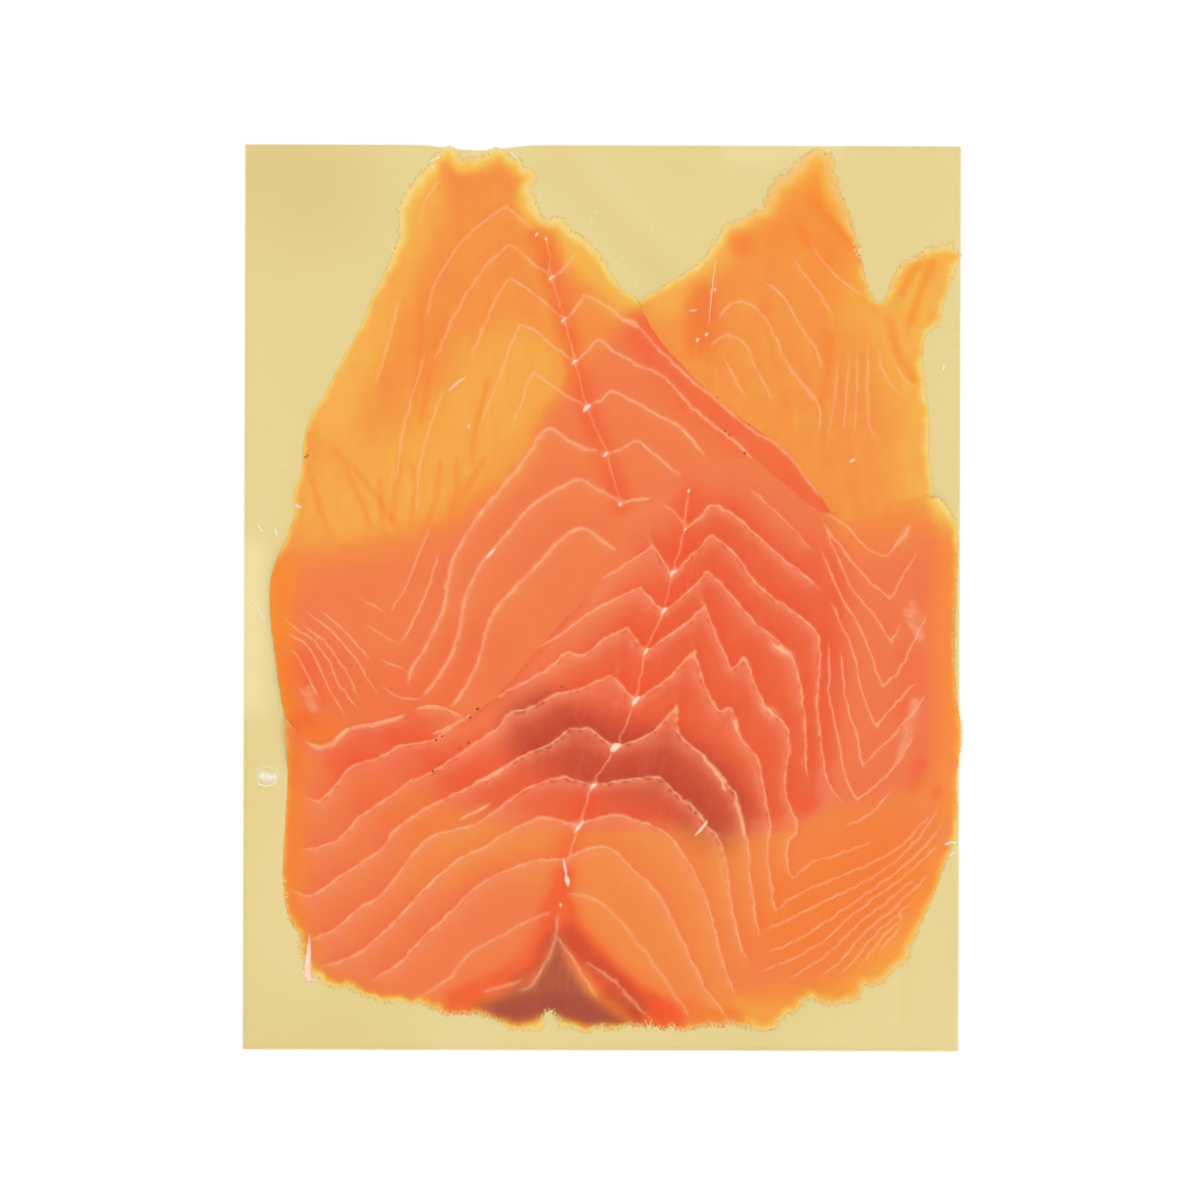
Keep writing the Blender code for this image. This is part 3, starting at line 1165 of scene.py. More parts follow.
@dataclass(frozen=True)
class FleshFinish:
    """Moist smoked flesh: the more layers, the deeper its red.

    Attributes:
        layers: Colour for each depth of flesh, from the bare edge to three slices and more.
        deepest: The depth at the ramp's end.
        fat: Colour of the fat lines.
        milky: Colour of the flesh just below a fat line.
        blush: Colour of the reddest flesh.
        amber: Colour of oily orange flesh.
        dark: Colour of the dark muscle.
        grey: Colour of the silvery skin between the muscles.
        pale: Colour of milky spots.
        milkiness: How milky it is just below a fat line.
        swing: How much thinner the flesh looks just below a fat line than halfway to the next.
        deepening: How much redder it is just above one.
        gloss: How strongly it mirrors.
    """

    layers: tuple[tuple[float, Colour], ...] = (
        (0.0, srgb(240, 216, 140)),
        (0.25, srgb(242, 192, 92)),
        (0.6, srgb(240, 166, 80)),
        (1.0, srgb(239, 143, 77)),
        (2.0, srgb(236, 124, 84)),
        (3.0, srgb(231, 103, 70)),
        (4.0, srgb(222, 84, 54)),
    )
    deepest: float = 4.0
    fat: Colour = srgb(250, 192, 148)
    milky: Colour = srgb(246, 152, 122)
    blush: Colour = srgb(238, 88, 30)
    amber: Colour = srgb(244, 140, 36)
    dark: Colour = srgb(164, 62, 60)
    grey: Colour = srgb(170, 88, 74)
    pale: Colour = srgb(248, 196, 160)
    milkiness: float = 0.5
    swing: float = 0.22
    deepening: float = 0.55
    gloss: float = 0.12

    def material(self) -> bpy.types.Material:
        """Build the material."""
        recipe = Recipe("smoked_flesh")
        patchy = recipe.mottle(9.0, 1.0)
        cloudy = recipe.mottle(3.0, 8.0, 3.0)
        grain = recipe.mottle(0.6, 2.0, 3.0)
        fibres = recipe.mottle(0.5, 3.0, 2.0, recipe.stretched(1.0, 0.2, 12.0))
        hatch = recipe.mottle(0.8, 6.0, 2.0, recipe.stretched(1.0, 0.12, -14.0))
        band = recipe.attribute("band") + 0.08 * cloudy
        depth = recipe.attribute("depth")
        streaks = recipe.mottle(2.4, 12.0, 2.0, recipe.stretched(1.0, 0.14, 6.0))
        flow = 0.12 * patchy + 0.14 * cloudy + 0.22 * grain + 0.24 * fibres + 0.2 * hatch + 0.16 * streaks
        swing = (flow - self.swing * band) * depth.eased(0.05, 1.2)
        stops = [(place / self.deepest, under_film(colour)) for place, colour in self.layers]
        lower = (0.0 - band).at_least(0.0)
        upper = band.at_least(0.0)
        deepening = self.deepening * (0.2 + 0.8 * depth.eased(0.6, 2.6))
        blush = recipe.attribute("blush") * (0.8 + 0.25 * patchy + 0.25 * fibres + 0.15 * hatch)
        shadow = recipe.attribute("dark") * (0.85 + 0.15 * fibres + 0.14 * hatch + 0.1 * cloudy - 0.3 * band)
        milk = self.milkiness * upper * upper + 0.1 * grain.at_least(0.0) + 0.1 * hatch.at_least(0.0) * depth
        width = recipe.attribute("fat_width") * (1.0 + 0.45 * recipe.mottle(1.8, 5.0))
        near = recipe.attribute("fat_near") + 0.09 * recipe.mottle(0.45, 7.0) + 0.12 * recipe.mottle(1.4, 9.0)
        fullness = 0.9 + 0.6 * recipe.mottle(3.5, 4.0) + 0.6 * recipe.mottle(1.0, 10.0)
        line = (1.0 - near.eased(0.02, width)) + 0.3 * (1.0 - near.eased(0.0, width * 3.0))
        colour = recipe.ramp((depth + swing) / self.deepest, stops)
        for share, shown in (
            (recipe.attribute("amber") * (0.85 + 0.2 * grain), self.amber),
            (blush + deepening * lower * lower, self.blush),
            (shadow, self.dark),
            (milk * depth.eased(0.1, 0.9), self.milky),
            (recipe.attribute("grey") * (0.9 + 0.3 * hatch), self.grey),
            (recipe.attribute("pale") * (0.8 + 0.9 * grain + 0.9 * cloudy), self.pale),
            (line * (recipe.attribute("fat_strength") * fullness), self.fat),
        ):
            colour = recipe.mixed(share, colour, under_film(shown))
        relief = 0.5 + 0.3 * grain + 0.2 * fibres
        inputs = {
            "Base Color": colour,
            "Roughness": 0.5 + 0.05 * grain,
            "Normal": recipe.bumped(relief, 0.07, 0.5),
            "Specular IOR Level": self.gloss,
        }
        return recipe.done(recipe.coated(inputs))


@dataclass
class GoldBoard:
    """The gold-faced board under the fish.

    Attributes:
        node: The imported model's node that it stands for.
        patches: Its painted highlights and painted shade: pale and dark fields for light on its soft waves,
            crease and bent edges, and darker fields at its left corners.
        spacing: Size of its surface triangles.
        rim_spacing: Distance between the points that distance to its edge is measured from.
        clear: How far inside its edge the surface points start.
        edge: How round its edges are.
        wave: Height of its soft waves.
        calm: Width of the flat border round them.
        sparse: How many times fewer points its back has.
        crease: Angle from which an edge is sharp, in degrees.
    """

    node: str
    patches: tuple[Patch, ...]
    spacing: float = 2.0
    rim_spacing: float = 0.4
    clear: float = 0.9
    edge: float = 0.18
    wave: float = 0.09
    calm: float = 6.0
    sparse: int = 6
    crease: float = 50.0

    def built(self, silhouette: Silhouette, piece: Piece) -> None:
        """Make the mesh of the board and store its tints."""
        loop = along_sides(silhouette.loop, self.spacing)
        low, high = loop.min(axis=0), loop.max(axis=0)
        rim = tree_of(on_curve(loop, self.rim_spacing, closed=True))
        grid = kept_inside(honeycomb(self.spacing, low, high), loop, rim, self.clear)
        middle = (low + high) / 2
        inset = middle + (loop - middle) * (1.0 - self.edge / (high - middle))
        top = triangulated(inset, grid)
        under = triangulated(inset, grid[:: self.sparse])
        thickness = silhouette.heights(middle[None])[0][0]
        wave = rolling(top[0], (0.035, 0.02), 7.0)
        ripple = rolling(top[0], (0.012, 0.12), 9.0)
        calm = smoothstep(nearest(rim, top[0])[1], 0.0, self.calm)
        z = thickness - self.wave * calm * (0.5 + 0.35 * wave + 0.15 * ripple)
        count = len(loop)
        points = np.vstack([
            np.column_stack([top[0], z]),
            np.column_stack([loop, np.full(count, thickness - self.edge)]),
            np.column_stack([loop, np.full(count, self.edge)]),
            np.column_stack([under[0], np.zeros(len(under[0]))]),
        ])
        first = len(top[0])
        ring = first + np.arange(count)
        rings = [top[2], ring, ring + count, first + 2 * count + under[2]]
        sides = []
        for upper, lower in zip(rings, rings[1:]):
            following = np.roll(upper, -1), np.roll(lower, -1)
            sides.append(np.column_stack([upper, lower, following[1]]))
            sides.append(np.column_stack([upper, following[1], following[0]]))
        faces = np.vstack([top[1], *sides, first + 2 * count + under[1][:, ::-1]])
        obj = piece.shaped(points, faces)
        obj.data.set_sharp_from_angle(angle=math.radians(self.crease))
        # Pale fields are painted highlights and dark fields are painted shade on the board's waves, crease
        # and edges; dark fields also darken its left corners.
        for tint in (Tint.PALE, Tint.DARK):
            weights = [patch.weight(points[:, :2]) for patch in self.patches if patch.tint is tint]
            piece.marked(tint.value, np.clip(sum(weights, np.zeros(len(points))), 0.0, 1.0))
        foil = np.zeros(len(points))
        foil[: first + count] = 1.0
        piece.marked("foil", foil)


@dataclass(frozen=True)
class BoardFinish:
    """Matte gold foil on grey board.

    Attributes:
        gold: Colour of the foil.
        light: Colour of its painted highlights, and of the bright specks of its grain.
        deep: Colour of its painted shade and of its darker corners.
        core: Colour of the board itself.
    """

    gold: Colour = srgb(229, 210, 148)
    light: Colour = srgb(240, 223, 168)
    deep: Colour = srgb(212, 186, 118)
    core: Colour = srgb(214, 206, 188)

    def material(self) -> bpy.types.Material:
        """Build the material."""
        recipe = Recipe("gold_foil_board")
        cloud = recipe.mottle(60.0, 1.0, 1.0)
        wave = recipe.mottle(30.0, 2.0, 1.0, recipe.stretched(1.0, 0.35, 0.0))
        grain = recipe.mottle(0.35, 3.0, 3.0)
        # Painted highlight and painted shade: the pale and dark fields and the broad waves of tone stand in
        # for light and shade on the foil's soft waves; the cloud is random tone.
        light = recipe.attribute("pale") + 0.28 * cloud + 0.2 * wave
        deep = recipe.attribute("dark") - 0.25 * cloud
        colour = recipe.mixed(light, under_film(self.gold), under_film(self.light))
        colour = recipe.mixed(deep, colour, under_film(self.deep))
        colour = recipe.mixed(0.10 * grain.at_least(0.0), colour, self.light)
        foil = recipe.attribute("foil").eased(0.2, 0.9)
        colour = recipe.mixed(foil, self.core, colour)
        inputs = {
            "Base Color": colour,
            "Metallic": 0.3 * foil,
            "Roughness": 0.5 + 0.06 * grain,
            "Normal": recipe.bumped(0.5 + 0.25 * grain + 0.25 * wave, 0.03, 0.4),
        }
        return recipe.done(recipe.coated(inputs))


@dataclass(frozen=True)
class Sliver:
    """A thin tapering strand that lies on the fish or the board.

    Attributes:
        path: Its middle line.
        width: Half of its width at the middle.
        tail: Share of that width that is left at its ends.
        bulge: Where along it is widest, from 0 to 1.
    """

    path: Path
    width: float
    tail: float = 0.2
    bulge: float = 0.5

    def girth(self, count: int) -> Array:
        """Return half of its width at so many places along it."""
        place = np.linspace(0.0, 1.0, count)
        past = (place - self.bulge) / (1.0 - self.bulge)
        share = np.where(place < self.bulge, 1.0 - place / self.bulge, past)
        return self.width * (self.tail + (1.0 - self.tail) * (1.0 - share**2))


@dataclass
class Slivers:
    """Strands grown along guide lines by geometry nodes.

    Attributes:
        slivers: The strands.
        flatness: Their height as a share of their width.
        sides: How many sides each has.
        step: Distance between their rings.
        wobble: How far they stray from their guide line.
        sunk: How deep they are set into what they lie on, as a share of their height.
        kinks: How fast they stray, per metre.
    """

    slivers: tuple[Sliver, ...]
    flatness: float = 0.35
    sides: int = 6
    step: float = 0.3
    wobble: float = 0.3
    sunk: float = 0.45
    kinks: float = 900.0

    def growth(self) -> Growth:
        """Build the tree that turns guide lines into strands."""
        growth = Growth("slivers", {
            "Sides": "NodeSocketInt", "Flatness": "NodeSocketFloat", "Step": "NodeSocketFloat",
            "Wobble": "NodeSocketFloat", "Kinks": "NodeSocketFloat", "Material": "NodeSocketMaterial",
        })
        given, result = growth.given, growth.result
        curve = result("GeometryNodeMeshToCurve", None, {"Mesh": given["Geometry"]})
        inputs = {"Curve": curve, "Length": given["Step"]}
        curve = result("GeometryNodeResampleCurve", {"mode": "LENGTH"}, inputs)
        scatter = growth.node(
            "ShaderNodeTexNoise", {"noise_dimensions": "3D"}, {"Scale": given["Kinks"], "Detail": 1.0}
        ).outputs["Color"]
        swing = result("ShaderNodeVectorMath", {"operation": "SUBTRACT"}, {0: scatter, 1: (0.5, 0.5, 0.5)})
        level = result("ShaderNodeVectorMath", {"operation": "MULTIPLY"}, {0: swing, 1: (1.0, 1.0, 0.0)})
        offset = result("ShaderNodeVectorMath", {"operation": "SCALE"}, {0: level, "Scale": given["Wobble"]})
        curve = result("GeometryNodeSetPosition", None, {"Geometry": curve, "Offset": offset})
        curve = result("GeometryNodeSetCurveNormal", {"mode": "Z_UP"}, {"Curve": curve})
        ring = result("GeometryNodeCurvePrimitiveCircle", None, {"Resolution": given["Sides"], "Radius": 1.0})
        squash = result("ShaderNodeCombineXYZ", None, {"X": 1.0, "Y": given["Flatness"], "Z": 1.0})
        flat = result("GeometryNodeTransform", None, {"Geometry": ring, "Scale": squash})
        inputs = {"Curve": curve, "Profile Curve": flat, "Scale": growth.stored("girth"), "Fill Caps": True}
        growth.finished(growth.result("GeometryNodeCurveToMesh", None, inputs))
        return growth

    def built(self, ground: Ground, piece: Piece, material: bpy.types.Material) -> None:
        """Lay the guide lines on the ground and grow the strands."""
        points, edges, girths = [], [], []
        for sliver in self.slivers:
            track = on_curve(sliver.path, self.step)
            girth = sliver.girth(len(track))
            first = sum(len(run) for run in points)
            edges += [(first + i, first + i + 1) for i in range(len(track) - 1)]
            height = ground.heights(track) + girth * self.flatness * (1.0 - 2.0 * self.sunk)
            points.append(np.column_stack([track, height]))
            girths.append(girth)
        piece.shaped(np.vstack(points), np.empty((0, 3), int), edges=edges)
        piece.marked("girth", np.concatenate(girths) * MM)
        self.growth().grow(piece.obj, {
            "Sides": self.sides, "Flatness": self.flatness, "Step": self.step * MM,
            "Wobble": self.wobble * MM, "Kinks": self.kinks, "Material": material,
        })


@dataclass
class Grains:
    """Small round things scattered by geometry nodes.

    Attributes:
        places: Where they lie.
        sizes: The smallest and the largest radius.
        flatness: Their height as a share of their width.
        seed: Which random sizes and turns they get.
        slimness: Their width as a share of their length.
    """

    places: Array
    sizes: tuple[float, float]
    flatness: float
    seed: int
    slimness: float = 0.8

    LEAST, MOST, SEED, FOUND = 2, 3, 8, 1
    FULL_TURN = 6.2832

    def growth(self) -> Growth:
        """Build the tree that puts a grain on each guide point."""
        growth = Growth("grains", {
            "Smallest": "NodeSocketFloat", "Largest": "NodeSocketFloat", "Flatness": "NodeSocketFloat",
            "Seed": "NodeSocketInt", "Material": "NodeSocketMaterial",
        })
        given = growth.given
        places = growth.result("GeometryNodeMeshToPoints", None, {"Mesh": given["Geometry"]})
        ball = growth.result("GeometryNodeMeshIcoSphere", None, {"Radius": 1.0, "Subdivisions": 2})
        form = {"X": 1.0, "Y": self.slimness, "Z": given["Flatness"]}
        squash = growth.result("ShaderNodeCombineXYZ", None, form)
        ball = growth.result("GeometryNodeTransform", None, {"Geometry": ball, "Scale": squash})
        turns = growth.node("FunctionNodeRandomValue", {"data_type": "FLOAT_VECTOR"}, {
            "Min": (0.0, 0.0, 0.0), "Max": (0.0, 0.0, self.FULL_TURN), "Seed": given["Seed"],
        }).outputs["Value"]
        size = growth.node("FunctionNodeRandomValue", {"data_type": "FLOAT"}, {
            self.LEAST: given["Smallest"], self.MOST: given["Largest"], self.SEED: given["Seed"],
        }).outputs[self.FOUND]
        inputs = {"Points": places, "Instance": ball, "Rotation": turns, "Scale": size}
        growth.finished(growth.result("GeometryNodeInstanceOnPoints", None, inputs))
        return growth

    def built(self, ground: Ground, piece: Piece, material: bpy.types.Material) -> None:
        """Lay the guide points on the ground and grow the grains."""
        points = np.column_stack([self.places, ground.heights(self.places)])
        piece.shaped(points, np.empty((0, 3), int))
        smallest, largest = (size * MM for size in self.sizes)
        self.growth().grow(piece.obj, {
            "Smallest": smallest, "Largest": largest, "Flatness": self.flatness, "Seed": self.seed,
            "Material": material,
        })


@dataclass(frozen=True)
class SpeckFinish:
    """A plain moist finish with a faint mottle, for small bits.

    Attributes:
        name: What it is.
        light: Its lighter colour.
        deep: Its deeper colour.
        roughness: How matte it is.
        gloss: How strongly it mirrors.
    """

    name: str
    light: Colour
    deep: Colour
    roughness: float = 0.4
    gloss: float = 0.3

    def material(self) -> bpy.types.Material:
        """Build the material."""
        recipe = Recipe(self.name)
        mottle = recipe.mottle(0.8, 1.0)
        colour = recipe.mixed(0.5 + 0.5 * mottle, self.light, self.deep)
        inputs = {
            "Base Color": colour,
            "Roughness": self.roughness + 0.05 * mottle,
            "Specular IOR Level": self.gloss,
        }
        return recipe.done(recipe.coated(inputs))


@dataclass(frozen=True)
class Fringe:
    """Loose fibres along the cut ends of the slices.

    Attributes:
        spacing: Mean distance between fibres.
        inner: How far a fibre starts inside the edge.
        outer: How far the longest reach past it.
        shortest: How far the shortest reach, as a share of that.
        rarity: How rare long fibres are.
        width: Half of a fibre's width.
        tail: Share of that width that is left at its ends.
        lean: How far a fibre leans sideways, as a share of its length.
        bend: How far its middle is pushed out, as a share of that.
        tips: How far from the middle of the board fibres follow the grain.
        margin: How far inside the board's edge they end.
        seed: Which random fibres.
    """

    spacing: float = 0.45
    inner: float = 0.9
    outer: float = 1.15
    shortest: float = 0.2
    rarity: float = 2.5
    width: float = 0.12
    tail: float = 0.15
    lean: float = 0.9
    bend: float = 0.3
    tips: float = 80.0
    margin: float = 0.6
    seed: int = 5

    def slivers(self, loops: Sequence[Array], board_loop: Array) -> tuple[Sliver, ...]:
        """Return the fibres, where a cut end shows over the bare board."""
        random = np.random.default_rng(self.seed)
        low, high = board_loop.min(axis=0) + self.margin, board_loop.max(axis=0) - self.margin
        found = []
        for number, loop in enumerate(loops):
            others = [other for k, other in enumerate(loops) if k != number]
            normal = outward(loop, 2)
            step = np.linalg.norm(np.diff(loop, axis=0), axis=1).mean()
            chance = cut_end(loop) ** 2 * step / self.spacing
            for i in np.flatnonzero(random.random(len(loop)) < chance):
                reach = self.outer * random.uniform(self.shortest, 1.0) ** self.rarity
                y = loop[i, 1]
                grain = np.array([0.0, math.copysign(1.0, y)]) if abs(y) > self.tips else normal[i]
                way = normal[i] + grain
                way = way / np.linalg.norm(way)
                side = np.array([-way[1], way[0]]) * self.lean * random.uniform(-1.0, 1.0)
                start, end = loop[i] - way * self.inner, loop[i] + (way + side) * reach
                off = np.any(end < low) or np.any(end > high)
                if off or any(inside(other, end[None])[0] for other in others):
                    continue
                middle = (start + end) / 2 + side * self.bend
                found.append(Sliver((tuple(start), tuple(middle), tuple(end)), self.width, self.tail))
        return tuple(found)


@dataclass(frozen=True)
class Pucker:
    """A small ridge in the film.

    Attributes:
        path: Its crest.
        width: Its half width.
        height: Its height.
        glint: How strongly its painted highlight, a milky white, shows, from 0 to 1.
    """

    path: Path
    width: float
    height: float
    glint: float


@dataclass
class ClearFilm:
    """The clear film drawn down over fish and board.

    Attributes:
        puckers: The small ridges where it didn't lie flat.
        finest: Size of its triangles at its puckers.
        fine: Size of its triangles near edges.
        coarse: Size of its triangles elsewhere.
        crest_reach: How far round a pucker the finest triangles go.
        edge_reach: How far round the slices' outlines the fine triangles go.
        rim_reach: How far its points stay inside its rim, as a share of the triangles' size.
        offset: How far the points are moved off the slices' own, as a share of it.
        clearance: Its height over what it covers.
        thickness: Its own thickness.
        inset: How far inside the board's edge it ends.
        taut: How many times it is evened, which bridges the steps.
    """

    puckers: tuple[Pucker, ...]
    finest: float = 0.25
    fine: float = 0.8
    coarse: float = 2.2
    crest_reach: float = 1.3
    edge_reach: float = 2.6
    rim_reach: float = 0.6
    offset: float = 0.01
    clearance: float = 0.12
    thickness: float = 0.04
    inset: float = 0.25
    taut: int = 8

    def built(
        self, board_loop: Array, slices: Sequence[FishSlice], ground: Ground, piece: Piece
    ) -> None:
        """Drape the film over what it covers and give it its thickness.

        Args:
            board_loop: The board's outline.
            slices: The slices, along whose outlines it bends most.
            ground: What it lies on.
            piece: Where its mesh goes.
        """
        low, high = board_loop.min(axis=0), board_loop.max(axis=0)
        middle = (low + high) / 2
        rim_line = along_sides(board_loop, self.fine)
        rim_line = middle + (rim_line - middle) * (1.0 - self.inset / (high - middle))
        rim = tree_of(rim_line)
        edges = tree_of(np.vstack([s.loop for s in slices]))
        crests = tree_of(np.vstack([on_curve(pucker.path, self.finest) for pucker in self.puckers]))
        sets = []
        for spacing in (self.finest, self.fine, self.coarse):
            grid = honeycomb(spacing, low, high) + self.offset * spacing
            grid = kept_inside(grid, rim_line, rim, self.rim_reach * spacing)
            level = np.where(nearest(edges, grid)[1] < self.edge_reach, self.fine, self.coarse)
            level = np.where(nearest(crests, grid)[1] < self.crest_reach, self.finest, level)
            sets.append(grid[level == spacing])
        flat, faces, _ = triangulated(rim_line, np.vstack(sets))
        floor = ground.heights(flat) + self.clearance
        z = evened(floor, faces, self.taut, floor)
        # The glint is a painted highlight along each pucker.
        glint = np.zeros(len(flat))
        for pucker in self.puckers:
            fall = np.exp(-((path_distance(flat, on_curve(pucker.path, self.fine)) / pucker.width) ** 2))
            z += pucker.height * fall
            glint = np.maximum(glint, pucker.glint * fall)
        obj = piece.shaped(np.column_stack([flat, z]), faces)
        piece.marked("glint", glint)
        shell = obj.modifiers.new("thickness", "SOLIDIFY")
        shell.thickness = self.thickness * MM
        shell.offset = -1.0
        made_plain(obj)


@dataclass(frozen=True)
class FilmFinish:
    """Clear glossy film, with a painted milky-white highlight where it is puckered.

    Attributes:
        milk: Colour of the painted highlight on its puckers.
        index: Refractive index.
        shine: How much of the light that such an index turns back is shown.
        roughness: How soft its gloss is.
    """

    milk: Colour = srgb(252, 246, 222)
    index: float = 1.45
    shine: float = 0.25
    roughness: float = 0.25

    def material(self) -> bpy.types.Material:
        """Build the material."""
        recipe = Recipe("clear_film")
        ripple = recipe.mottle(6.0, 1.0, 2.0)
        normal = recipe.bumped(0.5 + 0.3 * ripple, 0.12, 0.5)
        broken = recipe.mottle(0.5, 2.0)
        # Painted highlight: where the glint is high, the film turns into an opaque milky white.
        glint = recipe.attribute("glint") * (0.8 + 0.5 * broken)
        rough = self.roughness + 0.05 * ripple
        body = recipe.coated({"Base Color": self.milk, "Roughness": rough, "Normal": normal})
        clear = recipe.result("ShaderNodeBsdfTransparent")
        gloss = recipe.node("ShaderNodeBsdfGlossy", None, {"Roughness": self.roughness, "Normal": normal})
        fresnel = Number(recipe, recipe.result("ShaderNodeFresnel", None, {"IOR": self.index}))
        inputs = {0: self.shine * fresnel, 1: clear, 2: gloss.outputs[0]}
        skin = recipe.result("ShaderNodeMixShader", None, inputs)
        return recipe.done(recipe.result("ShaderNodeMixShader", None, {0: glint, 1: skin, 2: body}))


def made_plain(obj: bpy.types.Object) -> None:
    """Turn an object and its modifiers into a plain mesh."""
    bpy.context.view_layer.update()
    evaluated = obj.evaluated_get(bpy.context.evaluated_depsgraph_get())
    mesh = bpy.data.meshes.new_from_object(evaluated)
    obj.modifiers.clear()
    obj.data = mesh
    mesh.name = obj.name


@dataclass
class Studio:
    """A white floor, soft light and a camera straight above the pack.

    Attributes:
        distance: Height of the camera above the board, in metres.
        seen: Width of the picture at the board's height.
        aim: Where the camera looks, from the board's middle.
        roll: How far the board is turned in the picture, in degrees clockwise.
        sensor: Width of the camera's sensor.
        ambient: Strength of the light from all round.
        floor_size: Width of the floor, in metres.
        floor_gap: How far the floor lies below the pack, in metres.
        lamps: Name, place, width and power of each soft lamp.
    """

    distance: float = 2.0
    seen: float = 285.16
    aim: Point = (-0.42, -0.53)
    roll: float = 0.17
    sensor: float = 36.0
    ambient: float = 1.08
    floor_size: float = 6.0
    floor_gap: float = 0.00005
    lamps: tuple[tuple[str, tuple[float, float, float], float, float], ...] = (
        ("key", (-0.9, 0.9, 1.1), 0.9, 3.0),
        ("fill", (1.2, -0.5, 1.0), 1.2, 3.0),
    )

    def camera(self, centre: Array, height: float) -> None:
        """Place the camera."""
        data = bpy.data.cameras.new("camera")
        data.sensor_width = self.sensor
        data.lens = self.sensor * self.distance / (self.seen * MM)
        data.clip_end = 100.0
        obj = bpy.data.objects.new("camera", data)
        obj.location = (
            (centre[0] + self.aim[0]) * MM,
            (centre[1] + self.aim[1]) * MM,
            height * MM + self.distance,
        )
        obj.rotation_euler = (0.0, 0.0, math.radians(self.roll))
        bpy.context.scene.collection.objects.link(obj)
        bpy.context.scene.camera = obj

    def floor(self) -> None:
        """Lay the floor."""
        half = self.floor_size / 2
        corners = [(-half, -half, 0), (half, -half, 0), (half, half, 0), (-half, half, 0)]
        mesh = bpy.data.meshes.new("floor")
        mesh.from_pydata(corners, [], [(0, 1, 2, 3)])
        obj = bpy.data.objects.new("floor", mesh)
        obj.location.z = -self.floor_gap
        recipe = Recipe("white_floor")
        cloud = recipe.mottle(400.0, 1.0)
        colour = recipe.mixed(0.5 + 0.5 * cloud, srgb(254, 254, 254), srgb(252, 252, 252))
        mesh.materials.append(recipe.done(recipe.coated({"Base Color": colour, "Roughness": 0.9})))
        bpy.context.scene.collection.objects.link(obj)

    def light(self) -> None:
        """Set the soft light."""
        world = bpy.data.worlds.new("studio")
        world.use_nodes = True
        background = world.node_tree.nodes["Background"].inputs
        background["Color"].default_value = (1.0, 1.0, 1.0, 1.0)
        background["Strength"].default_value = self.ambient
        bpy.context.scene.world = world
        for name, place, size, power in self.lamps:
            lamp = bpy.data.lights.new(name, "AREA")
            lamp.size = size
            lamp.energy = power
            obj = bpy.data.objects.new(name, lamp)
            obj.location = place
            obj.rotation_euler = (-Vector(place)).to_track_quat("-Z", "Y").to_euler()
            bpy.context.scene.collection.objects.link(obj)
        bpy.context.scene.view_settings.view_transform = "Standard"

    def built(self, centre: Array, height: float) -> None:
        """Set up camera, floor and light."""
        self.camera(centre, height)
        self.floor()
        self.light()


def rib(left: Path, knot: Point, right: Path) -> Path:
    """Join a fat line's two sides through its sharp left peak and the knot on the spine."""
    return (*left, left[-1], knot, knot, *right)


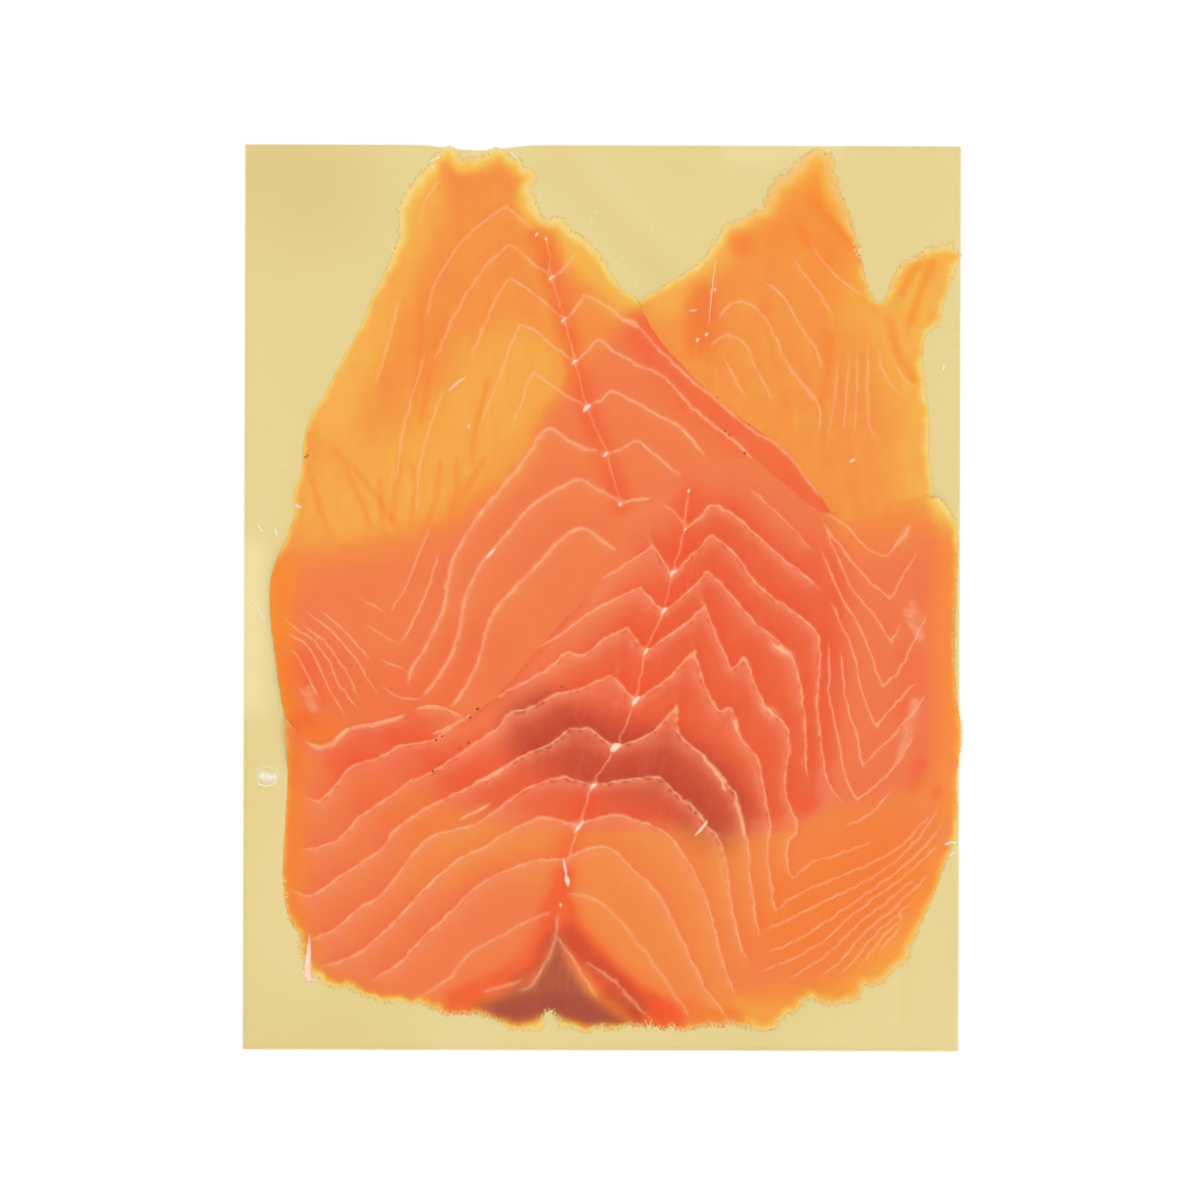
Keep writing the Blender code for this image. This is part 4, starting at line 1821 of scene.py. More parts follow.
SPINE_FRONT = (
    (20.5, 25.5), (19.5, 16), (16.5, 5.5), (14.5, -3.5), (10.5, -13), (8, -24.5), (3, -35.5), (-2, -44.5),
    (-6, -54), (-9, -62), (-10.5, -74.5),
)
FRONT_RIBS = (
    ((19.5, 16), (23.5, 19.5), (25.5, 22), (31.5, 19.5), (37.5, 14), (43.5, 9), (52, 2)),
    rib(
        ((-6.5, -0.5), (-0.5, 4), (6.5, 8.5), (12, 12.5)),
        SPINE_FRONT[2],
        ((23.5, 12.5), (26, 15), (26, 15), (31.5, 10.5), (36.5, 3.5), (41, 0), (46.5, -4), (50.5, -7.5),
         (51.5, -11), (51.5, -19.5), (51, -24), (52, -33.5), (53.5, -43), (57, -48.5)),
    ),
    rib(
        ((-18, -13.5), (-10, -9), (-3, -3.5), (3, -0.5), (9, 2.5)),
        SPINE_FRONT[3],
        ((21, 2), (25.2, 6.4), (25.2, 6.4), (31.5, -0.5), (36.5, -6), (45, -13.5), (47, -20.5), (48, -26.5),
         (48.5, -38.5), (49, -43)),
    ),
    rib(
        ((-71, -47.5), (-67, -48.5), (-62, -43.5), (-59.5, -40.5), (-52.5, -38), (-46.5, -35), (-40, -34),
         (-35, -30.5), (-27.5, -25), (-19.5, -21), (-11, -15.5), (-8.5, -13), (-4, -13.5), (1, -9.5),
         (6.2, -7)),
        SPINE_FRONT[4],
        ((18.5, -7), (24.5, -2), (24.5, -2), (28.5, -12), (31, -16.5), (34, -13.5), (34, -13.5), (36, -19.5),
         (39, -26), (43, -29.5), (44.5, -33.5), (43.5, -45.5), (46.5, -55), (44.5, -57.5), (44, -62),
         (45.5, -67)),
    ),
    rib(
        ((-71.5, -60.5), (-63, -58), (-57.5, -52.5), (-50.5, -47.5), (-45.5, -44), (-39.5, -41), (-30, -34.5),
         (-24, -30.5), (-22.5, -28), (-17, -26), (-11, -23), (-5, -21.5), (2.4, -18.4)),
        SPINE_FRONT[5],
        ((14, -20.5), (22, -12.5), (22, -12.5), (24, -19.5), (28, -26.5), (30.5, -26), (33.5, -33.5),
         (37, -38), (38.5, -45.5), (40, -54), (39.5, -60), (41.5, -75.5)),
    ),
    rib(
        ((-74.5, -69.5), (-69, -71), (-63.5, -67.5), (-57.5, -63.5), (-52, -59.5), (-48.5, -55),
         (-38.5, -48.5), (-31, -45), (-25, -42), (-19.5, -38), (-12, -34.5), (-7.5, -31.5), (-2.8, -31)),
        SPINE_FRONT[6],
        ((11.5, -32), (18, -25.5), (18, -25.5), (18.5, -32.5), (24.5, -37.5), (28.5, -42), (32, -47.5),
         (34.5, -57.5), (35.5, -67), (37.5, -81)),
    ),
    rib(
        ((-69.5, -81.5), (-63, -79), (-57.5, -74), (-52.5, -71), (-47.5, -65), (-44, -60), (-39.5, -56.5),
         (-30, -54), (-24, -50), (-18, -45.5), (-8.7, -42.4)),
        SPINE_FRONT[7],
        ((7, -43), (13.5, -42.5), (18.5, -47), (24, -52.5), (28.5, -58.5), (30.5, -69.5), (32.5, -80),
         (35, -87)),
    ),
    rib(
        ((-66.5, -88), (-59.5, -85.5), (-53, -81), (-47.5, -75.5), (-40.5, -68), (-34, -62.5), (-27.5, -59),
         (-20, -54.5), (-13.5, -52)),
        SPINE_FRONT[8],
        ((3.5, -51.5), (10.5, -53.5), (15.5, -56), (20.5, -62.5), (24.5, -70.5), (27, -79), (29, -86.5),
         (32, -95)),
    ),
    rib(
        ((-54.5, -91.5), (-47.5, -86.5), (-43, -81.5), (-37, -76), (-31.5, -70.5), (-24, -65.5),
         (-15.5, -62.5)),
        SPINE_FRONT[9],
        ((1, -59), (6, -63), (13, -69.5), (17.5, -77.5), (21.5, -86), (26, -94.5), (30.5, -100)),
    ),
)
FRONT_TOP = (
    ((34.5, 26.1), (38.2, 23.3), (45.6, 16), (50.2, 10.4)),
    ((13, 22.5), (16.5, 21), (19.6, 17.4)),
)
FRONT_FLECKS = (
    ((40.5, -10.5), (43, -12.5), (45.5, -14)),
    ((37.5, -25), (39.5, -26.5), (42, -28.5)),
    ((30.5, -28.5), (33.5, -33)),
    ((23.5, -36.5), (27, -41), (30, -46)),
    ((19.5, -47.5), (22.5, -50.5), (25.5, -54)),
    ((31.5, -47), (34.5, -57.5)),
    ((-26, -49), (-30, -51), (-34, -53)),
    ((-40, -32.5), (-34.5, -30), (-31, -27.5)),
    ((-31, -45), (-27, -42.5), (-22, -39.5)),
)
FRONT_FAINT = (
    ((-43, -95), (-36, -90.5), (-31.5, -85), (-24, -80.5), (-17, -76.5), (-11.5, -74.5)),
    ((-8.5, -70.5), (-3, -71), (2, -74), (8, -81), (14, -89), (21.5, -100)),
    ((-4.5, -86), (2, -90), (7, -95), (12, -100)),
)
FRONT_BORDER = (
    ((-73.3, -27.7), (-71.2, -32.1), (-67.5, -35.7), (-63, -34.3), (-60.6, -31.4), (-54, -30.1),
     (-48.6, -28.7), (-44.5, -26.3), (-39.6, -25.9), (-35.5, -27), (-32.4, -28.7)),
)
FRONT_CHEVRONS = (
    ((52, 21), (58, 17), (63.5, 11.5), (67.5, 10), (67.5, 10), (72, 15.5), (73.5, 18.5)),
    ((52, 18.5), (57.5, 11), (63.5, 4), (68.5, 0), (68.5, 0), (72, 6.5), (75, 11.5)),
    ((53, 16.5), (59, 3), (65.5, -5.5), (68.5, -11), (68.5, -11), (71, -5.5)),
    ((52, 11.5), (56, 2), (62, -8.5), (66.5, -21), (66.5, -21), (70.5, -17), (73.5, -11), (77.5, -3)),
    ((54, -0.5), (59, -11), (61.5, -21.5), (65, -30.5), (65, -30.5), (70, -24.5), (75, -19.5)),
    ((56.5, -12), (58, -24), (60.5, -32.5), (62, -40), (62, -40), (66, -35.5), (72, -29.5), (77, -22.5)),
    ((54, -10), (54, -23), (56, -32.5), (57.5, -41), (60.5, -48), (60.5, -48), (67.5, -42), (72, -36),
     (74.5, -32.5)),
    ((57.5, -54.5), (65, -50), (68.5, -45.5)),
)
FRONT_FAN = (
    ((44.7, -67.3), (50, -62.8), (56.1, -60.7), (64.9, -57.6)),
    ((41.8, -74.2), (46.6, -70.3), (54.4, -66.8), (63.1, -63.3), (71.8, -58.1), (77.9, -51.2)),
    ((38.7, -79), (45.7, -75.6), (52.7, -72.1), (60.5, -68.2), (69, -63), (75.3, -57), (80.5, -49)),
    ((39.1, -84.3), (45.7, -81.6), (52.7, -77.3), (58.8, -72.9), (65.7, -68.2), (73.6, -62), (81.3, -53.5)),
    ((37.8, -88.6), (46.6, -85.1), (53.5, -80.8), (59, -75.6), (65.4, -70.8), (72.8, -65.2), (80.6, -58)),
    ((43.9, -90.8), (50.1, -87), (56, -82.5), (61, -77.3), (67, -72.6), (75, -66)),
    ((51.8, -90.4), (57.9, -85), (62.6, -79.2), (69, -74), (78, -65.4)),
    ((56.6, -89.5), (60.8, -85.3), (65, -79.8), (70.4, -75.2), (74.6, -71.2)),
    ((61.4, -87.4), (65, -82.8), (68.8, -78.6), (72.8, -75)),
    ((65.8, -84.4), (69.2, -80.4), (72, -77.4)),
)
LEFT_UPPER = (
    ((-40, 56), (-37.5, 62), (-32.5, 72), (-27, 79.5), (-22, 84), (-22, 84), (-16.5, 79.5), (-12, 76)),
    ((-31.5, 57), (-28, 64.5), (-25, 72), (-22, 76), (-22, 76), (-19, 74), (-13.5, 70), (-9, 65.5)),
    ((-29, 41), (-26.5, 47), (-24, 53.5), (-21.5, 61), (-19.5, 65), (-19.5, 65), (-15.5, 63), (-11.5, 59.5),
     (-6.5, 56)),
    ((-21.5, 41), (-19.5, 45.5), (-18, 50.5), (-16.5, 53.5), (-16.5, 53.5), (-13, 51), (-8, 47.5),
     (-3.5, 45.5)),
    ((-42, 66), (-40, 74), (-36.5, 80), (-33, 85), (-28, 89.5), (-23, 93), (-23, 93), (-15.5, 86.5)),
    ((-44, 91), (-41.5, 95), (-38.5, 100)),
    ((-42, 58), (-45, 48), (-47.5, 38), (-49, 28)),
    ((-37.5, 50), (-41, 40), (-43.5, 30), (-44, 20)),
    ((-48, 72), (-50.5, 62), (-54, 50)),
)
LEFT_LOWER = (
    ((-45.5, -21), (-45.5, -18), (-41.5, -11.5), (-37.5, -2), (-36, 6.5), (-33, 13.5), (-28, 21),
     (-22.5, 27.5), (-17.5, 34), (-13, 40), (-6.5, 36.5), (-0.5, 34.5)),
    ((-42.5, -24), (-37, -16), (-34, -9), (-32.5, -0.5), (-28.5, 8), (-22, 15.5), (-17, 21.5), (-11, 25.5),
     (-5.5, 28), (-0.5, 25.5), (4.5, 22.5)),
    ((-36, -26.5), (-34, -24), (-29.5, -16), (-26.5, -5.5), (-20.5, 2.5), (-14.5, 8.5), (-10, 13.5),
     (-5, 16.5), (-0.5, 14), (4, 11)),
)
LEFT_OF_SEAM = (
    ((-12, 76), (-9.5, 78), (-6, 82)),
    ((-9, 65.5), (-7, 68), (-4.5, 72), (-4.5, 72), (1.5, 69), (5.5, 65.5), (10, 63.5)),
    ((-6.5, 56), (-4, 58), (-1, 61), (3, 58.5), (8, 55.5), (13, 53.5), (17.5, 49.5), (22, 44.5), (31.5, 37),
     (37.5, 31), (43.5, 25.5), (52, 19.5)),
    ((-3.5, 45), (-0.5, 47), (2, 49), (6.5, 47), (13, 43.5), (19, 40), (24.5, 33.5)),
    ((1, 34), (4, 35), (8, 37), (13.5, 33), (19.5, 28)),
    ((4.5, 22.5), (12.5, 23.5), (15.5, 21.5), (18.5, 15.5)),
)
LEFT_EDGE = (
    ((4, 66.5), (7.5, 65.5), (12, 60.5), (17, 55.5), (22.5, 50.5), (26.5, 47.5), (34, 41), (40.5, 37),
     (45.5, 32.5), (50, 26.5), (52, 23.5)),
)
LEFT_CHEVRONS = (
    ((-41, 16.5), (-43.5, 10), (-47, 1.5), (-50.5, -4)),
    ((-38.5, 11), (-41.5, 1.5), (-44.5, -5.5), (-48, -11.5)),
    ((-57.5, 0), (-51, -4)),
    ((-56.5, -6.5), (-48, -11)),
    ((-53, -14.5), (-46, -17.5)),
    ((-52, -21), (-47.5, -24), (-42.5, -24)),
)
LEFT_FAN = (
    ((-75.4, -12.4), (-73.2, -13), (-71, -15.8), (-69.3, -19.4), (-67.8, -22.4), (-66.6, -24.6)),
    ((-76, -8.8), (-73.3, -9.3), (-69.5, -12), (-67.2, -16), (-65.2, -20.4), (-63.2, -23.9), (-60.9, -28)),
    ((-76, -4.6), (-73.3, -7), (-68.9, -9.8), (-65.2, -14.3), (-62.6, -19.8), (-60, -23.9), (-57.5, -27)),
    ((-71.6, -5.9), (-65.8, -10.5), (-62, -15.6), (-59.2, -20.4), (-57.2, -24.6)),
    ((-70.2, -3.4), (-64.4, -7.7), (-59.2, -13.6), (-56.1, -18.4), (-52.7, -23.2)),
    ((-67.1, -2.8), (-62, -7), (-57.8, -11.5), (-54.7, -15.3)),
    ((-72.9, -19.8), (-70.9, -22.5), (-69.5, -24.6)),
)
LEFT_STREAKS = (
    ((-63.6, 34.6), (-58.4, 29.9), (-52.7, 23.2), (-48.9, 17)),
    ((-52.7, 28), (-52.2, 18.5)),
    ((-47.9, 33.7), (-49.4, 21.3), (-49.8, 18.5)),
    ((-45.1, 31.8), (-44.1, 26.1), (-45.1, 18.5)),
    ((-38.4, 31.8), (-39.4, 23.2), (-41.3, 17.5)),
    ((-34.6, 32.7), (-34.2, 26.1), (-36.5, 19.4)),
    ((-28, 32.7), (-32.7, 25.1), (-35.6, 18.5)),
    ((-68.9, 28), (-67, 20.4), (-64.1, 14.7)),
    ((-61, 30.4), (-57.4, 23.2), (-54.6, 16.1)),
    ((-43, 68), (-43.5, 56), (-45, 47)),
    ((-39, 64), (-40.5, 54), (-43, 42)),
    ((-27, 52), (-30, 41), (-31, 32)),
)
RIGHT_STREAKS = (
    ((49.5, 95), (53, 90.5), (59, 84), (61.5, 80)),
    ((46.5, 88.5), (49, 84), (52.5, 80)),
    ((71, 72.5), (73, 76.5), (76, 81)),
    ((73, 65.5), (76, 74.5), (78.5, 80)),
    ((68, 66), (70, 58), (74, 52)),
    ((54, 62), (53, 52), (51.5, 44)),
)
RIGHT_MAIN = (
    ((27.5, 65.5), (29, 68.5), (33, 70.5), (37.5, 67.5), (41, 62), (44, 55.5), (46.5, 52), (51.5, 46)),
    ((24.5, 59), (29.5, 62.5), (33.5, 60.5), (36.5, 54.5), (39.5, 49), (41, 45.5)),
    ((29, 56.5), (31.5, 52), (34.5, 47)),
    ((38, 75), (42.5, 72), (46.5, 65.5), (50.5, 59), (53, 54)),
    ((45, 81), (48.5, 76), (52.5, 71), (54.5, 67)),
    ((49, 85), (51.5, 81), (55.5, 76.5), (59.5, 73.5), (63, 71)),
    ((49, 50.5), (51.5, 45.5), (51.5, 39)),
)
RIGHT_FAINT = (
    ((58.5, 58), (58, 49), (57, 38.5)),
    ((60.5, 59), (60.5, 49), (59.5, 38.5)),
    ((63, 59), (63, 50.5), (63.5, 41), (66, 37.5)),
    ((65.5, 59.5), (67, 53), (71, 48)),
    ((56, 57), (55, 47), (53.5, 38)),
    ((69, 57), (72, 52), (76, 49)),
)
SPINE_LEFT = ((-15.5, 86), (-13.5, 85), (-12, 75.5), (-9, 65.5), (-6.5, 56), (-3.5, 45), (1, 34), (4.5, 22.5))
SPINE_RIGHT = ((26.5, 73), (25, 63), (22.5, 61))
SPINE_STRAND = (
    (20.5, 25.5), (19.8, 20), (18.6, 12), (16.7, 5.9), (14.6, -3.1), (10.5, -12.7), (7.9, -24.5),
    (3.4, -35.2), (-2.1, -44.7), (-5.2, -54.2), (-8.5, -64.2),
)
WEDGE = (
    (-10.9, -75.4), (-12.8, -83.7), (-15.9, -89.6), (-24.2, -93.7), (-31.3, -96.8), (-26.6, -99.9),
    (-19.4, -101.3), (-12.5, -99.9), (-2.8, -101.8), (7.2, -101.5), (-0.4, -95.6), (-6.4, -87.3),
    (-9.9, -79),
)
WEDGE_FOOT = (
    (-26, -97), (-20, -95), (-14, -93.5), (-8, -93), (-3, -94.5), (7.2, -101.5), (-2.8, -101.8), (-12.5, -99),
    (-19.4, -101.3), (-26.6, -99.9),
)
RIGHT_OF_WEDGE = ((-8.6, -76), (-7, -80), (-3, -84.5), (1.5, -89.5), (9, -95.5), (15, -101))
SKIN_LINES = (
    ((-10.4, -74.7), (-10.8, -79), (-11.5, -83.5), (-14.4, -88.9), (-16.9, -92.5), (-20, -93.2)),
    ((-28.5, -93.9), (-25.4, -93), (-21.8, -92), (-18.2, -90.4)),
    ((-10.9, -79), (-9.9, -81.3), (-6.4, -86), (-2.8, -92), (-0.4, -95.6)),
)

RIGHT_SLICE = FishSlice(
    node="slice_right",
    lines=fat_lines(0.36, 0.38, RIGHT_MAIN, 0.35) + fat_lines(0.26, 0.32, RIGHT_FAINT, 0.15),
    patches=(
        Patch(Tint.DEPTH, ((63.5, 73), (72, 63.5), (77, 47), (78, 28)), 3, 14, -0.36),
        Patch(Tint.DEPTH, ((80, 78),), 4, 14, -0.35),
        Patch(Tint.DEPTH, ((14, 71), (26, 82), (40, 96), (52, 105), (58, 92)), 1, 8, -0.35),
        Patch(Tint.AMBER, ((44, 90), (52, 96), (58, 80)), 4, 18, 0.4),
        Patch(Tint.BLUSH, ((23.5, 72), (23.5, 60)), 1, 6, 0.5),
        Patch(Tint.BLUSH, ((33, 84.5),), 1, 5, 0.5),
        *patches(Tint.AMBER, 0.2, 1.8, 0.5, *RIGHT_STREAKS),
        *patches(Tint.BLUSH, 0.2, 1.6, 0.12, *RIGHT_STREAKS),
    ),
    seed=11.0,
    flesh=0.85,
)
LEFT_SLICE = FishSlice(
    node="slice_left",
    lines=fat_lines(0.32, 0.36, LEFT_UPPER, 0.3)
    + fat_lines(0.6, 0.42, LEFT_LOWER, 0.7)
    + fat_lines(0.45, 0.45, LEFT_OF_SEAM, 0.35)
    + fat_lines(0.5, 0.4, LEFT_EDGE, 0.3)
    + fat_lines(0.28, 0.4, LEFT_CHEVRONS, 0.25)
    + fat_lines(0.22, 0.42, LEFT_FAN, 0.2)
    + fat_lines(0.22, 0.3, (SPINE_LEFT,), 0.0),
    patches=(
        Patch(Tint.DEPTH, ((-62, 24), (-45, 30), (-28, 42), (-22, 52)), 6, 20, -0.35),
        Patch(Tint.DEPTH, ((-44, 94.5), (-49, 78), (-57.5, 59), (-64, 44)), 2, 11, -0.4),
        Patch(Tint.DEPTH, ((-15.5, 93), (-6.5, 85), (2, 76.5), (9, 70.5)), 2, 9, -0.5),
        Patch(Tint.AMBER, ((-45.5, 74), (-45.5, 42)), 2, 12, 0.2),
        *patches(Tint.AMBER, 0.1, 1.1, 0.4, *LEFT_STREAKS),
        *patches(Tint.BLUSH, 0.1, 1.0, 0.14, *LEFT_STREAKS),
        Patch(Tint.BLUSH, ((-66, -18), (-56, -24), (-40, -22), (-30, -12)), 3, 12, 0.3),
        *patches(Tint.PALE, 0.2, 1.5, 0.4, *[(knot,) for knot in SPINE_LEFT[2:]]),
        Patch(Tint.BLUSH, SPINE_LEFT, 0.5, 5, 0.6),
        Patch(Tint.BLUSH, ((11, 62), (22, 48), (36, 36), (50, 22)), 2, 9, 0.55),
        Patch(Tint.BLUSH, ((-73, -16), (-70, -27)), 2, 8, 0.25),
        Patch(Tint.BLUSH, ((-71, -30), (-68, -33), (-64, -33)), 1.5, 5, 0.45),
        Patch(Tint.AMBER, ((-72, -31), (-66, -34)), 1, 5, 0.6),
        Patch(Tint.AMBER, ((-76, 6), (-77, 0), (-76, -26)), 1.4, 6, 1.0),
        Patch(Tint.PALE, ((-69.6, -22.4), (-68.4, -26.2)), 0.4, 2.0, 0.3),
    ),
    seed=23.0,
    flesh=0.9,
)
FRONT_UPPER_EDGE = (
    (-75, -28.5), (-66.5, -35), (-48, -28), (-40.5, -25), (-31.5, -27.5), (-13.5, -10), (2.5, 9), (5, 19.5),
    (21, 30.5), (34, 33.5), (44.5, 26), (52, 20.5), (66, 22), (78, 24.5),
)
FRONT_LOWER_EDGE = ((27, -101.5), (40, -99), (59, -94.5), (71, -83.5), (80.5, -64.5))
FRONT_SLICE = FishSlice(
    node="slice_front",
    lines=fat_lines(0.32, 0.4, FRONT_RIBS, 1.0)
    + fat_lines(0.45, 0.6, FRONT_FLECKS, 0.0, 1.5)
    + fat_lines(0.5, 0.3, FRONT_FAINT, 0.4)
    + fat_lines(0.3, 0.3, FRONT_TOP, 0.6)
    + fat_lines(0.95, 0.5, FRONT_BORDER, 0.6)
    + fat_lines(0.27, 0.4, FRONT_CHEVRONS, 0.35)
    + fat_lines(0.26, 0.4, FRONT_FAN, 0.3)
    + fat_lines(0.28, 0.3, (SPINE_STRAND,), 0.0)
    + fat_lines(0.6, 0.3, SKIN_LINES, 0.0, 2.0),
    patches=(
        Patch(Tint.DEPTH, FRONT_UPPER_EDGE[4:], 0, 17, -1.15),
        Patch(Tint.DEPTH, ((46, -80), (68, -62)), 6, 22, 0.5),
        Patch(Tint.AMBER, ((48, -76), (66, -64)), 5, 20, 0.6),
        Patch(Tint.BLUSH, ((-62, -38), (-52, -35), (-44, -33)), 2, 7, 0.3),
        *patches(Tint.PALE, 0.2, 1.7, 0.45, *[(knot,) for knot in SPINE_FRONT[2:9]]),
        Patch(Tint.DEPTH, ((-62, -52), (-60, -72), (-50, -86), (-24, -78)), 6, 22, 0.6),
        Patch(Tint.BLUSH, SPINE_FRONT, 0.5, 6, 0.5),
        Patch(Tint.BLUSH, ((-31, -25), (-22, -16), (-10, -0.5)), 2, 9, 0.65),
        Patch(Tint.AMBER, ((82, 9), (83.5, -48)), 1, 7, 0.6),
        Patch(Tint.AMBER, FRONT_LOWER_EDGE, 1, 10, 0.3),
        Patch(Tint.DEPTH, FRONT_LOWER_EDGE, 1.5, 10, -0.55),
        Patch(Tint.AMBER, ((-73, -38), (-73, -80)), 1, 5, 0.6),
        Patch(Tint.DARK, ((-14, -31), (0, -37), (14, -40), (24, -46), (27, -50)), 4, 14, 0.57),
        Patch(Tint.GREY, WEDGE, -3.0, 1.2, 0.95, filled=True),
        Patch(Tint.DARK, WEDGE_FOOT, -2.2, 1.2, 0.9, filled=True),
        Patch(Tint.BLUSH, ((-11, -74), (-13, -80), (-17, -87), (-24, -91.5), (-34, -95.5)), 0.6, 5.5, 0.85),
        Patch(Tint.BLUSH, RIGHT_OF_WEDGE, 1.2, 6.5, 0.95),
        Patch(Tint.DARK, ((-7.5, -80), (-3, -85.5), (3, -91), (9, -97)), 0.5, 4.5, 0.5),
        Patch(Tint.DARK, ((1, -95), (8, -100)), 0.8, 3.5, 0.4),
        Patch(Tint.DARK, ((-12.6, -81), (-15.5, -87.6), (-20.5, -91.3)), 0.3, 2.4, 0.4),
        Patch(Tint.BLUSH, ((-42, -99), (-30, -100)), 1, 4, 0.5),
        Patch(Tint.BLUSH, ((12, -98), (30, -101)), 2, 6, 0.55),
        Patch(Tint.BLUSH, ((-8.5, -65), (-9.5, -71)), 0.5, 4, 0.5),
        Patch(Tint.AMBER, ((-2, -93), (2.4, -96), (8, -100)), 0.6, 2.6, 0.7),
        Patch(Tint.AMBER, ((-31, -96.5), (-20, -94)), 0.6, 2.2, 0.5),
        Patch(Tint.PALE, ((41, -11.4), (44.5, -13.4)), 0.2, 2, 0.3),
        Patch(Tint.PALE, ((38.5, -25.8), (41, -27.4)), 0.2, 2, 0.3),
        Patch(Tint.PALE, ((70.4, 13.2), (72.2, 16)), 0.2, 1.4, 0.3),
        Patch(Tint.PALE, ((72.5, -3), (74.2, -7), (75.6, -9)), 0.2, 1.8, 0.35),
        Patch(Tint.PALE, ((73.6, -1), (75.6, -5)), 0.2, 1.3, 0.25),
        Patch(Tint.PALE, ((72, -34), (73.4, -28.4), (74.4, -24.6)), 0.3, 1.9, 0.35),
        Patch(Tint.PALE, ((70.6, -38), (71.6, -34.4)), 0.2, 1.2, 0.3),
        Patch(Tint.BLUSH, ((74, -44), (75.6, -39)), 0.6, 3.5, 0.45),
        Patch(Tint.BLUSH, ((72.6, -14), (74, -20), (71, -26)), 1, 5, 0.3),
        Patch(Tint.BLUSH, ((53, 14), (55, -10), (53, -34)), 1, 8, 0.2),
        Patch(Tint.BLUSH, ((48, -76), (66, -64)), 4, 18, 0.16),
        Patch(Tint.BLUSH, ((49.2, -48.6),), 0.6, 3.5, 0.6),
        Patch(Tint.BLUSH, ((79.7, -46),), 0.5, 2.5, 0.5),
        Patch(Tint.BLUSH, ((-72, -34), (-73.5, -42)), 1, 6, 0.25),
        Patch(Tint.BLUSH, ((-60, -43), (-44, -50), (-32, -40)), 3, 12, 0.3),
    ),
    seed=37.0,
    flesh=1.15,
)
BOARD = GoldBoard(
    node="gold_board",
    patches=(
        # Pale patches are painted highlights along the top and left edges and on a wave and a crease; dark
        # patches are painted shade on that wave and crease, and darken the left corners.
        Patch(Tint.PALE, ((-84.3, 9), (-84.3, -24)), 1, 8, 0.8),
        Patch(Tint.PALE, ((31.7, 106.4), (38.8, 106.4)), 1, 7, 0.6),
        Patch(Tint.PALE, ((47, 107), (54, 107)), 1, 6, 0.5),
        Patch(Tint.DARK, ((-84, 106), (-70, 100)), 2, 30, 0.35),
        Patch(Tint.DARK, ((-84, -106), (-60, -106)), 2, 34, 0.15),
        Patch(Tint.DARK, ((-12, 102), (0, 90), (16, 74)), 1, 10, 0.2),
        Patch(Tint.DARK, ((73, -84), (72.4, -104)), 0.5, 3, 0.14),
        Patch(Tint.PALE, ((70.6, -86), (70, -104)), 0.3, 1.6, 0.14),
        Patch(Tint.PALE, ((-2, 102), (14, 86)), 1, 7, 0.15),
    ),
)
# The film's ridges; the last number of each is the strength of its painted highlight.
PUCKERS = (
    Pucker(((-81.4, -44.5), (-81.7, -42), (-81.2, -40.2), (-79.3, -40.5), (-77.2, -40.9)), 0.22, 0.08, 0.3),
    Pucker(((-80.6, -42.4), (-79.3, -42.9), (-77.8, -42.8)), 1.1, 0.1, 0.75),
    Pucker(((-81.4, -44.5), (-79.3, -45), (-77.2, -44)), 0.2, 0.1, 0.8),
    Pucker(((-82.9, -1), (-81.7, -2.9), (-79.8, -5.8)), 0.18, 0.08, 0.75),
    Pucker(((-81.7, 17), (-80.7, 15.6)), 0.22, 0.08, 0.85),
    Pucker(((-77.6, 15.9), (-77.4, 14.9)), 0.2, 0.06, 0.85),
    Pucker(((-72.7, 21.8), (-71.7, 21.3)), 0.22, 0.08, 0.85),
    Pucker(((59, 32.5), (59.7, 33)), 0.18, 0.05, 0.85),
    Pucker(((80.9, 54.6), (81.3, 55.5)), 0.22, 0.08, 0.85),
    Pucker(((82, -58.3), (83.2, -57.8), (84.2, -58)), 0.2, 0.08, 0.9),
    Pucker(((82.8, -61.1), (84, -60.2)), 0.18, 0.08, 0.85),
    Pucker(((-40.8, 103.6), (-39, 104.6)), 0.16, 0.06, 0.85),
    Pucker(((-22, 105.6), (-20.4, 104.4)), 0.16, 0.06, 0.85),
)
